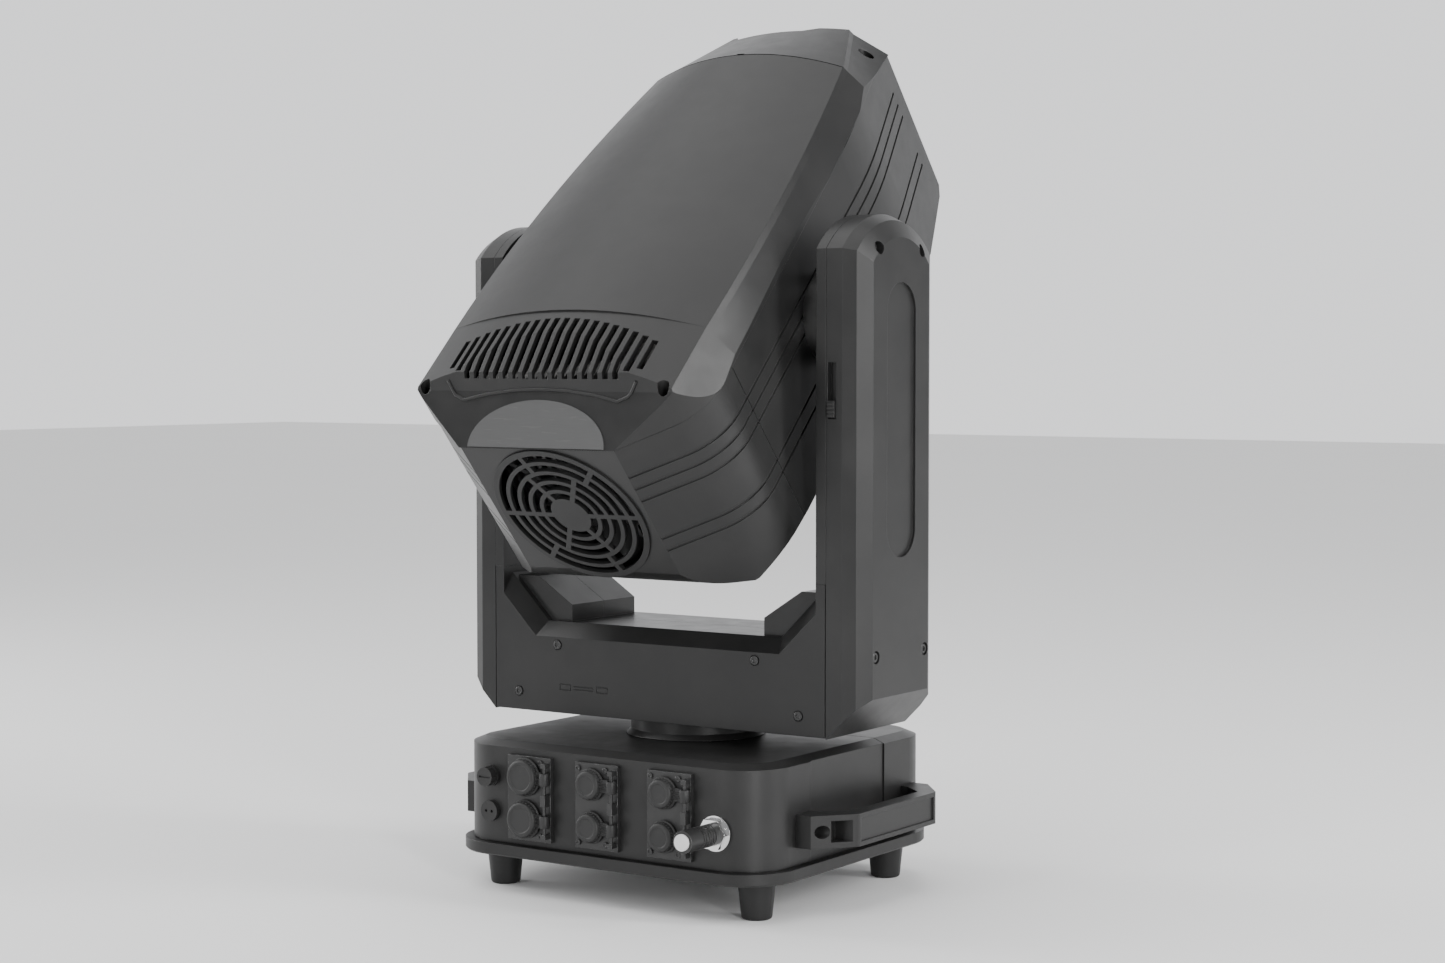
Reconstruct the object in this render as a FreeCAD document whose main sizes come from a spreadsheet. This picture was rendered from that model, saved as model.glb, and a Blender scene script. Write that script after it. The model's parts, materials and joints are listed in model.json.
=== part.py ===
"""Moving head light: a base, a panning yoke and a tilting head, each an assembly of separate pieces.

Millimetres, +Z up.  The origin is on the pan axis, at the plane that the feet stand on.
The socket side of the base faces -Y, and the display side faces +Y.  The head leans back
from upright by head_lean, its lens towards +Y.
"""
import FreeCAD, Part
import math
import os
import re
from FreeCAD import Placement, Rotation, Vector
import Sketcher

DIMENSIONS = {
    # base
    "base_width": 326, "base_depth": 290, "base_corner": 44, "base_wall": 3,
    "tray_width": 340, "tray_depth": 304, "tray_corner": 49, "tray_bottom": 33.5, "tray_top": 44,
    "base_rim": 129.5, "base_top": 134, "base_bevel": 11, "seam_place": 56, "seam_gap": 1,
    "side_step": 65.7, "side_recess": 1.2,
    "foot_across": 135, "foot_along": 106.7, "foot_low_radius": 13, "foot_top_radius": 16.5,
    "foot_rounding": 2.5,
    # carrying handles
    "handle_reach": 42, "handle_bar": 14, "handle_foot": 15, "handle_middle": 74, "handle_height": 28,
    "handle_near": 57, "handle_far": 75, "handle_ramp": 33, "handle_end": 22,
    # socket plates, sockets and flip caps
    "plate_thickness": 4, "plate_bottom": 50, "plate_height": 74,
    "power_column": -78, "data_column": -6, "column_pitch": 76,
    "lower_row": 69, "upper_row": 106, "power_plate_width": 40, "data_plate_width": 36,
    "power_cap_radius": 17, "data_cap_radius": 14, "cap_depth": 10,
    "power_socket_radius": 12.5, "data_socket_radius": 10.5, "socket_reach": 6, "socket_depth": 26,
    "rail_offset": 24, "rail_radius": 1.6, "rail_reach": 9, "hinge_fit": 0.05, "lug_height": 11,
    "fuse_column": -119, "port_column": 119, "port_row": 76, "port_length": 50, "port_radius": 9.4,
    # display side
    "panel_width": 128, "panel_height": 58, "panel_middle": 88, "panel_thickness": 3,
    "button_radius": 5, "button_gap": 0.35, "button_pitch": 17,
    # pan drive
    "shaft_radius": 20, "shaft_bore": 14, "turntable_radius": 59, "turntable_bottom": 134.4,
    "pulley_radius": 38, "pinion_radius": 9.5, "pan_motor_place": 100,
    # yoke
    "yoke_bottom": 150.5, "bar_top": 232, "yoke_half_depth": 66.9,
    "bar_end": 177, "bar_band_top": 280.5, "bar_bevel": 13, "bar_wall": 3, "bar_inside_half": 50,
    "bar_split": 0.4,
    "gusset_in": 104, "gusset_low": 247, "gusset_knee": 142, "gusset_top": 271.5, "gusset_depth": 48,
    "arm_inner": 168, "arm_seam": 178, "arm_shoulder": 193.5, "arm_edge": 204.5, "arm_outer": 212,
    "arm_side_top": 562, "arm_peak": 593, "arm_edge_inset": 5.4, "arm_face_inset": 20,
    "recess_half": 24, "recess_low": 301, "recess_high": 535, "recess_depth": 2.5,
    "lock_slot_low": 420, "lock_slot_high": 467,
    # head, measured along its own axis from the tilt axis
    "pivot_height": 505, "head_lean": 48.9, "head_rear": -249, "head_front": 295, "head_skin": 4,
    "rear_flat": 80, "rear_corner_along": -199, "rear_corner_half": 151.5, "waist_half": 127,
    "waist_along": 160, "front_half": 95, "cover_overhang": 1.8,
    "crown_step": -140, "nose_seam": 212, "lower_seam": -149, "head_gap": 1,
    "rear_low": -85, "rear_high": 71.5, "label_fold": -211, "label_fold_high": 102,
    "vent_fold": -202, "vent_fold_high": 115, "belly_low": -112,
    "ledge_out": 2.6, "ledge_drop": 5.5, "chine_width": 62, "rear_rounding": 50,
    "rear_corner_round": 58, "waist_round": 450,
    "groove_width": 2.6, "groove_depth": 1.3, "groove_pitch": 13.2, "groove_upper": 14.4,
    "groove_lower": -42,
    "slot_pitch": 10.3, "slot_width": 5.8, "grille_radius": 73.5, "grille_high": -3.5, "grille_hub": 17,
    "ring_pitch": 10.6, "ring_gap": 6.6, "spoke_width": 4.8,
    "key_share": 0.5, "key_depth": 2.2,
    "label_half": 71, "label_rise": 40, "label_thickness": 0.8, "lens_radius": 80,
    "trunnion_radius": 40, "axle_radius": 15,
    "fan_radius": 68, "fan_place": -238,
}
# The head's cross-sections.  Each gives its place along the head, then half-widths and heights:
# the roof's ridge and crown, its eave (where the facet beside the ridge ends) and the wall's foot.
STATION_PARTS = ("along", "ridge", "ridge_high", "crown", "eave", "eave_high", "wall_low")
STATIONS = {
    "tail": (-262, 132, 101, 120, 152, 64, -76),
    "step": (-140, 132, 109.5, 130, 157, 63, -76),
    "middle": (40, 126, 115, 135.5, 146, 48, -76),
    "seam": (212, 102, 115.5, 137, 134, 59, -71),
    "nose": (305, 60, 99, 103, 110, 53, -32),
}
for station, values in STATIONS.items():
    for part_name, value in zip(STATION_PARTS, values):
        DIMENSIONS[f"{station}_{part_name}"] = value

doc = FreeCAD.newDocument("moving_head_light")
sheet = doc.addObject("Spreadsheet::Sheet", "Dims")
for row, (alias, value) in enumerate(DIMENSIONS.items(), start=1):
    sheet.set(f"A{row}", alias)
    sheet.set(f"B{row}", str(value))
    sheet.setAlias(f"B{row}", alias)
doc.recompute()

pieces = []


def size(alias):
    """A driving dimension, read back from the sheet."""
    return float(sheet.get(alias))


def formula(text):
    """An expression in which every dimension's name points at the sheet."""
    return re.sub(r"[a-z]+(?:_[a-z]+)+", lambda word: "Dims." + word.group(0), str(text))


def bind(thing, prop, text):
    thing.setExpression(prop, formula(text))


def place(thing, at, turn=None):
    """Put a thing at bound coordinates, turned by a fixed rotation."""
    if turn is not None:
        thing.Placement = Placement(Vector(), turn)
    for axis, text in zip("xyz", at):
        bind(thing, "Placement.Base." + axis, text)
    return thing


def turned(name, shape, turn, at):
    """A shape turned about the origin, then moved to bound coordinates."""
    holder = doc.addObject("Part::Compound", name)
    holder.Links = [shape]
    return place(holder, at, turn)


def keep(thing, label):
    """Make a thing a sub-part of the light, named by its label."""
    thing.Label = label
    pieces.append(thing)
    return thing


# --- primitives and booleans -------------------------------------------------------------

ALONG_X = Rotation(Vector(0, 1, 0), 90)
ALONG_Y = Rotation(Vector(1, 0, 0), -90)
AGAINST_Y = Rotation(Vector(1, 0, 0), 90)


def box(name, low, sizes, turn=None):
    block = doc.addObject("Part::Box", name)
    for prop, text in zip(("Length", "Width", "Height"), sizes):
        bind(block, prop, text)
    return place(block, low, turn)


def rod(name, start, radius, length, turn=None):
    bar = doc.addObject("Part::Cylinder", name)
    bind(bar, "Radius", radius)
    bind(bar, "Height", length)
    return place(bar, start, turn)


def cone(name, start, low_radius, high_radius, length, turn=None):
    body = doc.addObject("Part::Cone", name)
    bind(body, "Radius1", low_radius)
    bind(body, "Radius2", high_radius)
    bind(body, "Height", length)
    return place(body, start, turn)


def prism(name, start, sides, radius, length, turn=None):
    bar = doc.addObject("Part::Prism", name)
    bar.Polygon = sides
    bind(bar, "Circumradius", radius)
    bind(bar, "Height", length)
    return place(bar, start, turn)


def fuse(name, things):
    joined = doc.addObject("Part::MultiFuse", name)
    joined.Shapes = things
    joined.Refine = True
    return joined


def group(name, things):
    """Separate solids of one kind, kept apart in one sub-part."""
    bunch = doc.addObject("Part::Compound", name)
    bunch.Links = things
    return bunch


def common(name, things):
    """What all the things share, taken two at a time."""
    shared = things[0]
    for other in things[1:]:
        both = doc.addObject("Part::Common", name)
        both.Base = shared
        both.Tool = other
        shared = both
    return shared


def cut(name, base, tools):
    left = doc.addObject("Part::Cut", name)
    left.Base = base
    left.Tool = tools[0] if len(tools) == 1 else fuse(name + "_tools", tools)
    return left


def mirrored(name, source):
    """The same piece on the other side of the pan axis."""
    twin = doc.addObject("Part::Mirroring", name)
    twin.Source = source
    twin.Normal = Vector(1, 0, 0)
    return twin


# --- sketched solids ---------------------------------------------------------------------

def new_body(name):
    return doc.addObject("PartDesign::Body", name)


def sketch_on(body, role, offset="0"):
    """An empty sketch on one of the body's own origin planes, moved along its normal."""
    sketch = body.newObject("Sketcher::SketchObject", body.Name + "_sketch")
    base = next(plane for plane in body.Origin.OriginFeatures if plane.Role == role)
    sketch.AttachmentSupport = [(base, "")]
    sketch.MapMode = "FlatFace"
    bind(sketch, "AttachmentOffset.Base.z", offset)
    return sketch


def outline(sketch, corners):
    """A closed run of straight lines whose corners are bound to the sheet."""
    count = len(corners)
    first = sketch.GeometryCount
    for i in range(count):
        here, there = Vector(i, i * i, 0), Vector(i + 1, (i + 1) ** 2, 0)
        sketch.addGeometry(Part.LineSegment(here, there), False)
    for i in range(count):
        sketch.addConstraint(Sketcher.Constraint("Coincident", first + i, 2, first + (i + 1) % count, 1))
    for i, corner in enumerate(corners):
        for kind, text in zip(("DistanceX", "DistanceY"), corner):
            index = sketch.addConstraint(Sketcher.Constraint(kind, -1, 1, first + i, 1, 1.0 + i))
            bind(sketch, f"Constraints[{index}]", text)
    return sketch


def grow(body, sketch, length, backwards=False, midplane=False):
    pad = body.newObject("PartDesign::Pad", body.Name + "_pad")
    pad.Profile = sketch
    bind(pad, "Length", length)
    pad.Reversed = backwards
    pad.Midplane = midplane
    doc.recompute()
    return pad


def carve(body, sketch, length, backwards=False, midplane=False):
    before = body.Shape.Volume
    pocket = body.newObject("PartDesign::Pocket", body.Name + "_pocket")
    pocket.Profile = sketch
    bind(pocket, "Length", length)
    pocket.Reversed = backwards
    pocket.Midplane = midplane
    doc.recompute()
    if body.Shape.Volume > before - 1:
        raise RuntimeError(f"{body.Name}: a pocket removed nothing")
    return pocket


def edges(shape, test):
    return [f"Edge{i}" for i, edge in enumerate(shape.Edges, start=1) if test(edge)]


def runs_along(edge, axis):
    """True for a straight edge parallel to an axis, 0 to 2."""
    if edge.Curve.TypeId != "Part::GeomLine":
        return False
    span = edge.Vertexes[-1].Point - edge.Vertexes[0].Point
    return abs(span[axis]) > 0.999 * span.Length


def soften(body, test, amount, kind="Fillet"):
    """Fillet or chamfer the body's edges that pass a test."""
    base = body.Tip
    feature = body.newObject("PartDesign::" + kind, body.Name + "_" + kind.lower())
    feature.Base = (base, edges(base.Shape, test))
    bind(feature, "Radius" if kind == "Fillet" else "Size", amount)
    body.Tip = feature
    doc.recompute()
    return feature


def rectangle(half_x, half_y):
    return [(f"-({half_x})", f"-({half_y})"), (half_x, f"-({half_y})"), (half_x, half_y),
            (f"-({half_x})", half_y)]


# --- base --------------------------------------------------------------------------------

def base_tray():
    """The shallow bottom pan, with a lip round the housing and a dark groove under its rim."""
    body = new_body("tray")
    grow(body, outline(sketch_on(body, "XY_Plane", "tray_bottom"),
                       rectangle("tray_width / 2", "tray_depth / 2")), "tray_top - tray_bottom")
    soften(body, lambda edge: runs_along(edge, 2), "tray_corner")
    low = size("tray_bottom")
    soften(body, lambda edge: edge.BoundBox.ZMax < low + 0.1, "1.5", "Chamfer")
    carve(body, outline(sketch_on(body, "XY_Plane", "tray_top"),
                        rectangle("base_width / 2 - 2 * base_wall", "base_depth / 2 - 2 * base_wall - 20")),
          "tray_top - tray_bottom - base_wall")
    seat = cut("tray_seat", housing_block("seat_outer", "base_wall / 2", "tray_top - 1", "tray_top + 1"),
               [housing_block("seat_inner", "base_wall", "tray_top - 2", "tray_top + 2")])
    return keep(fuse("tray_solid", [body, seat]), "base_tray")


def housing_block(name, inset, low, high):
    """A rounded block as deep and wide as the base, less an inset all round."""
    body = new_body(name)
    grow(body, outline(sketch_on(body, "XY_Plane", low),
                       rectangle(f"base_width / 2 - {inset}", f"base_depth / 2 - {inset}")),
         f"{high} - ({low})")
    soften(body, lambda edge: runs_along(edge, 2), f"base_corner - {inset}")
    return body


def base_housings():
    """The base's two housings: a bevelled shell split across, with flats where the handles sit."""
    outer = housing_block("shell_outer", "0", "tray_top + 1", "base_top")
    top = size("base_top")
    block = outer.Tip
    bevel = outer.newObject("PartDesign::Chamfer", "top_bevel")
    bevel.Base = (block, edges(block.Shape, lambda edge: edge.BoundBox.ZMin > top - 0.1))
    bevel.ChamferType = "Two distances"
    bind(bevel, "Size", "base_top - base_rim")
    bind(bevel, "Size2", "base_bevel")
    outer.Tip = bevel
    doc.recompute()
    if abs(outer.Shape.BoundBox.ZMax - top) > 0.01:
        raise RuntimeError("the base's top moved")
    inner = housing_block("shell_inner", "base_wall", "tray_top", "base_top - 2 * base_wall")
    openings = [inner, rod("shaft_opening", ("0", "0", "base_rim - 20"), "shaft_radius", "40")]
    for side, name in ((1, "right"), (-1, "left")):
        low_x = "base_width / 2 - side_recess" if side > 0 else "-base_width / 2 - 10 + side_recess"
        openings.append(box(f"{name}_flat", (low_x, "-side_step", "tray_top"),
                            ("10", "side_step + seam_place", "base_top")))
    for column, radius in (("power_column", "power_socket_radius"), ("data_column", "data_socket_radius"),
                           ("data_column + column_pitch", "data_socket_radius")):
        for height in ("lower_row", "upper_row"):
            openings.append(rod("socket_opening", (column, "-base_depth / 2 - 1", height), radius,
                                "base_wall + 2", ALONG_Y))
    for height in ("lower_row + 3", "upper_row - 3"):
        openings.append(rod("small_opening", ("fuse_column", "-base_depth / 2 - 1", height), "6",
                            "base_wall + 2", ALONG_Y))
    openings.append(rod("port_opening", ("port_column", "-base_depth / 2 - 1", "port_row"), "6",
                        "base_wall + 2", ALONG_Y))
    for place_x in button_places():
        openings.append(rod("button_opening", (place_x, "base_depth / 2 + 1", "panel_middle - 17"),
                            "button_radius + button_gap", "base_wall + 2", AGAINST_Y))
    shell = cut("base_shell", outer, openings)
    for label, y, depth in (("rear", "-base_depth", "base_depth + seam_place - seam_gap / 2"),
                            ("front", "seam_place + seam_gap / 2", "base_depth")):
        zone = box(f"{label}_zone", ("-base_width", y, "0"), ("2 * base_width", depth, "2 * base_top"))
        keep(common(f"housing_{label}", [shell, zone]), f"base_housing_{label}")


def button_places():
    return [f"{i} * button_pitch" for i in (-1.5, -0.5, 0.5, 1.5)]


def rubber_feet():
    feet = []
    for x in (-1, 1):
        for y in (-1, 1):
            at = (f"{x} * foot_across", f"{y} * foot_along", "0")
            foot = cone("foot_block", at, "foot_low_radius", "foot_top_radius", "tray_bottom")
            doc.recompute()
            rounded = doc.addObject("Part::Fillet", "foot_rounded")
            rounded.Base = foot
            low = [int(name[4:]) for name in edges(foot.Shape, lambda edge: edge.BoundBox.ZMax < 0.1)]
            rounded.Edges = [(number, size("foot_rounding"), size("foot_rounding")) for number in low]
            hole = rod("foot_screw_hole", (at[0], at[1], "-1"), "4.5", "11")
            feet.append(cut("foot", rounded, [hole]))
    keep(group("feet", feet), "rubber_feet")


def handle():
    """One carrying handle: two feet on the base's side, ramps and a bar with raised rims."""
    body = new_body("handle_bar_body")
    wall = "base_width / 2"
    reach = "(base_width / 2 + handle_reach)"
    end_near = "(handle_near + handle_ramp)"
    end_far = "(handle_far + handle_ramp)"
    corners = [(wall, f"-{end_near}"), (f"{wall} + handle_foot", f"-{end_near}"),
               (reach, "-handle_near"), (reach, "handle_far"),
               (f"{wall} + handle_foot", end_far), (wall, end_far),
               (wall, f"{end_far} - handle_end"), (f"{wall} + 9", f"{end_far} - handle_end - 3"),
               (f"{reach} - handle_bar", "handle_far - 8"), (f"{reach} - handle_bar", "-handle_near + 8"),
               (f"{wall} + 9", f"-{end_near} + handle_end + 3"), (wall, f"-{end_near} + handle_end")]
    grow(body, outline(sketch_on(body, "XY_Plane", "handle_middle - handle_height / 2"), corners),
         "handle_height")
    reach_x = size("base_width") / 2 + size("handle_reach")
    soften(body, lambda edge: runs_along(edge, 2) and edge.BoundBox.XMin > reach_x - 1, "6")
    waist = box("handle_waist", (f"{reach} - 1.6", "-handle_near + 4", "handle_middle - handle_height / 2 + 4"),
                ("10", "handle_near + handle_far - 8", "handle_height - 8"))
    tools = [waist]
    for side, end in ((-1, end_near), (1, end_far)):
        low = f"-{end} + 14" if side < 0 else f"{end} - 14 - 15"
        tools.append(box("handle_pocket", (f"{wall} + 21", low, "handle_middle - 9"), ("30", "15", "18")))
        tools.append(rod("handle_screw_well", (f"{wall} + 5", f"{side} * ({end} - 8)", "handle_middle"),
                         "5.5", "30", ALONG_X))
    shape = cut("handle_shape", body, tools)
    keep(shape, "handle_right")
    twin = doc.addObject("Part::Compound", "handle_twin")
    twin.Links = [shape]
    twin.Placement = Placement(Vector(), Rotation(Vector(0, 0, 1), 180))
    keep(twin, "handle_left")


def cap_screw(at, turn, radius=4, length=4):
    """A socket-head screw: a short round head with a hexagonal hole in its free end."""
    head = rod("screw_head", at, str(radius), str(length), turn)
    drive = prism("screw_drive", at, 6, f"{radius} * key_share", "key_depth", turn)
    return cut("screw", head, [drive])


def socket_plate(name, column, width):
    """A plate on the socket side, with two round holes and a hinge rail on its right."""
    back = "-base_depth / 2"
    plate = box(name + "_blank", (f"{column} - ({width}) / 2", f"{back} - plate_thickness", "plate_bottom"),
                (f"({width}) / 2 + rail_offset + 3", "plate_thickness", "plate_height"))
    rail_x = f"{column} + rail_offset"
    rail_y = f"{back} - rail_reach"
    rail = rod(name + "_rail", (rail_x, rail_y, "plate_bottom + 4"), "rail_radius", "plate_height - 8")
    parts = [plate, rail]
    ears = ("plate_bottom + 4", "(lower_row + upper_row) / 2 - 5", "plate_bottom + plate_height - 8")
    for height, tall in zip(ears, ("4", "10", "4")):
        parts.append(box(name + "_ear", (f"{rail_x} - 2.5", f"{rail_y} - 2.5", height),
                         ("5", "rail_reach - plate_thickness + 2.5", tall)))
    return fuse(name + "_solid", parts)


def sockets_and_caps():
    """Power and data sockets, their plates, and the hinged rubber caps that close them."""
    back = "-base_depth / 2"
    power = socket_plate("power", "power_column", "power_plate_width")
    data = [socket_plate("data_one", "data_column", "data_plate_width"),
            socket_plate("data_two", "data_column + column_pitch", "data_plate_width")]
    columns = [("power", "power_column", "power_socket_radius", "power_cap_radius"),
               ("data_one", "data_column", "data_socket_radius", "data_cap_radius"),
               ("data_two", "data_column + column_pitch", "data_socket_radius", "data_cap_radius")]
    rows = (("upper_row", "in"), ("lower_row", "out"))
    sockets = {"power": [], "data": []}
    holes = {"power": [], "data_one": [], "data_two": []}
    cap_names = {"power": "power_{}_cap", "data_one": "data_{}_cap", "data_two": "network_{}_cap"}
    for key, column, radius, cap_radius in columns:
        for row_height, way in rows:
            holes[key].append(rod("plate_hole", (column, f"{back} - plate_thickness - 1", row_height),
                                  radius, "plate_thickness + 2", ALONG_Y))
            sockets[key[:5].rstrip("_")].append(socket(column, row_height, radius))
            keep(flip_cap(column, row_height, radius, cap_radius), cap_names[key].format(way))
    keep(cut("power_plate_cut", power, holes["power"]), "power_plate")
    plates = [cut(key + "_cut", plate, holes[key]) for key, plate in zip(("data_one", "data_two"), data)]
    keep(group("data_plates_pair", plates), "data_plates")
    keep(group("power_socket_pair", sockets["power"]), "power_sockets")
    keep(group("data_socket_set", sockets["data"]), "data_sockets")


def socket(column, row_height, radius):
    """A round socket: a cup open to -Y, with three contact pins standing in it."""
    mouth = "-base_depth / 2 - socket_reach"
    cup = rod("socket_cup", (column, mouth, row_height), f"{radius}", "socket_depth", ALONG_Y)
    bore = rod("socket_bore", (column, f"{mouth} - 1", row_height), f"{radius} - 2", "15", ALONG_Y)
    pins = []
    for angle in (90, 210, 330):
        across = f"{column} + ({radius}) * {0.45 * math.cos(math.radians(angle)):.4f}"
        up = f"{row_height} + ({radius}) * {0.45 * math.sin(math.radians(angle)):.4f}"
        pins.append(rod("socket_pin", (across, f"{mouth} + 6", up), "1.2", "9", ALONG_Y))
    return fuse("socket_solid", [cut("socket_shell", cup, [bore])] + pins)


def flip_cap(column, row_height, radius, cap_radius):
    """A domed rubber cap, hollow over its socket, with a lug that turns on the plate's rail."""
    front = "-base_depth / 2 - plate_thickness - 0.3"
    rail_x = f"{column} + rail_offset"
    rail_y = "-base_depth / 2 - rail_reach"
    skirt = rod("cap_skirt", (column, front, row_height), cap_radius, "cap_depth * 0.6", AGAINST_Y)
    dome = cone("cap_dome", (column, f"{front} - cap_depth * 0.6", row_height), cap_radius,
                f"{cap_radius} * 0.62", "cap_depth * 0.4", AGAINST_Y)
    arm = box("cap_arm", (column, f"{front} - cap_depth * 0.6", f"{row_height} - lug_height / 2"),
              ("rail_offset", "cap_depth * 0.6 - 1", "lug_height"))
    lug_foot = (rail_x, rail_y, f"{row_height} - lug_height / 2")
    lug = rod("cap_lug", lug_foot, "rail_radius + 2.2", "lug_height")
    body = fuse("cap_body", [skirt, dome, arm, lug])
    hollow = rod("cap_hollow", (column, f"{front} + 1", row_height), f"{radius} + 0.4",
                 "1 + socket_reach - plate_thickness + 0.6", AGAINST_Y)
    bore = rod("cap_bore", (rail_x, rail_y, f"{row_height} - lug_height"), "rail_radius + hinge_fit",
               "2 * lug_height")
    return cut("cap", body, [hollow, bore])


def small_fittings():
    """Fuse holder and its cap, breather vent, and the screw-down service port."""
    back = "-base_depth / 2"
    upper, lower = "upper_row - 3", "lower_row + 3"
    neck = rod("fuse_neck", ("fuse_column", f"{back} - 4", upper), "9", "4", ALONG_Y)
    stem = rod("fuse_stem", ("fuse_column", back, upper), "6", "30", ALONG_Y)
    keep(fuse("fuse_holder_solid", [neck, stem]), "fuse_holder")
    cap = prism("fuse_cap_block", ("fuse_column", f"{back} - 4.3", upper), 12, "8.5", "7", AGAINST_Y)
    slot = box("fuse_slot", ("fuse_column - 6", f"{back} - 12", f"{upper} - 0.8"), ("12", "2.2", "1.6"))
    keep(cut("fuse_cap_solid", cap, [slot]), "fuse_cap")
    disc = rod("vent_disc", ("fuse_column", f"{back} - 5", lower), "9", "5", ALONG_Y)
    plug = rod("vent_plug", ("fuse_column", back, lower), "6", "8", ALONG_Y)
    dots = [rod("vent_dot", (f"fuse_column + {x}", f"{back} - 6", lower), "1.3", "3", ALONG_Y)
            for x in (-3.2, 3.2)]
    keep(cut("vent_solid", fuse("vent_blank", [disc, plug]), dots), "breather_vent")
    washer = rod("port_washer", ("port_column", f"{back} - 1.2", "port_row"), "15", "1.2", ALONG_Y)
    nut = prism("port_hexagon", ("port_column", f"{back} - 1.2", "port_row"), 6, "14", "6", AGAINST_Y)
    stud = rod("port_stud", ("port_column", f"{back} - 1.2", "port_row"), "6", "21.2", ALONG_Y)
    keep(fuse("port_nut_solid", [washer, nut, stud]), "port_nut")
    sleeve = rod("port_sleeve_blank", ("port_column", f"{back} - 7.2", "port_row"), "port_radius",
                 "port_length - 9.2", AGAINST_Y)
    rings = []
    for i in range(6):
        at = ("port_column", f"{back} - {12 + 3.4 * i}", "port_row")
        rings.append(cut("port_ring", rod("ring_outer", at, "port_radius + 1", "1.4", AGAINST_Y),
                         [rod("ring_inner", at, "port_radius - 0.7", "1.4", AGAINST_Y)]))
    keep(cut("port_sleeve_solid", sleeve, rings), "port_sleeve")
    keep(rod("port_plug_solid", ("port_column", f"{back} - port_length + 2", "port_row"), "port_radius - 2.4",
             "2", AGAINST_Y), "port_plug")


def display_side():
    """The menu panel on the +Y side: a frame, a window and four push buttons."""
    front = "base_depth / 2"
    frame = box("panel_blank", ("-panel_width / 2", front, "panel_middle - panel_height / 2"),
                ("panel_width", "panel_thickness", "panel_height"))
    window = box("panel_window", ("-36", f"{front} + 1", "panel_middle - 6"), ("72", "10", "30"))
    holes = [rod("panel_hole", (x, f"{front} + 10", "panel_middle - 17"), "button_radius + button_gap",
                 "20", AGAINST_Y) for x in button_places()]
    keep(cut("panel_solid", frame, [window] + holes), "display_panel")
    keep(box("glass_pane", ("-35.8", f"{front} + 1", "panel_middle - 5.8"), ("71.6", "1.6", "29.6")),
         "display_glass")
    for x, label in zip(button_places(), ("menu", "down", "up", "enter")):
        keep(rod("button_post", (x, f"{front} + panel_thickness + 2.4", "panel_middle - 17"),
                 "button_radius", "7", AGAINST_Y), f"button_{label}")


def base_screws():
    """Every screw on the base's outside: handles and socket plates."""
    screws = []
    wall = "base_width / 2"
    for side, turn in ((1, ALONG_X.inverted()), (-1, ALONG_X)):
        for end in (f"-(handle_near + handle_ramp - 8)", f"handle_far + handle_ramp - 8"):
            at = (f"{side} * ({wall} + 9.5)", f"{side} * ({end})", "handle_middle")
            screws.append(cap_screw(at, turn, 4.6, 4.5))
    for column in ("power_column", "data_column", "data_column + column_pitch"):
        for x, height in ((-14.5, "plate_bottom + plate_height - 5"), (14.5, "plate_bottom + plate_height - 5"),
                          (-14.5, "plate_bottom + 5"), (14.5, "plate_bottom + 5")):
            if column == "power_column" and x < 0:
                continue
            across = 16.5 if column == "power_column" else x
            at = (f"{column} + {across}", "-base_depth / 2 - plate_thickness - 1.6", height)
            screws.append(cap_screw(at, ALONG_Y, 2.6, 1.6))
    keep(group("base_screw_set", screws), "base_screws")


def base_insides():
    """Power supply, and the fixed shaft and pulley that the yoke pans on."""
    supply = box("supply_block", ("-75", "-50", "tray_bottom + base_wall + 1"), ("150", "100", "52"))
    keep(supply, "power_supply")
    bottom = "base_top - 2 * base_wall - 20"
    tube = rod("shaft_tube", ("0", "0", bottom), "shaft_radius", "90")
    flange = rod("shaft_flange", ("0", "0", bottom), "45", "20")
    bore = rod("shaft_hole", ("0", "0", "0"), "shaft_bore", "400")
    keep(cut("shaft_solid", fuse("shaft_blank", [tube, flange]), [bore]), "pan_shaft")
    wheel = rod("pulley_disc", ("0", "0", "yoke_bottom + 26"), "pulley_radius", "12")
    eye = rod("pulley_eye", ("0", "0", "yoke_bottom"), "shaft_radius", "60")
    keep(cut("pulley_solid", wheel, [eye]), "pan_pulley")

# --- yoke --------------------------------------------------------------------------------

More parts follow.
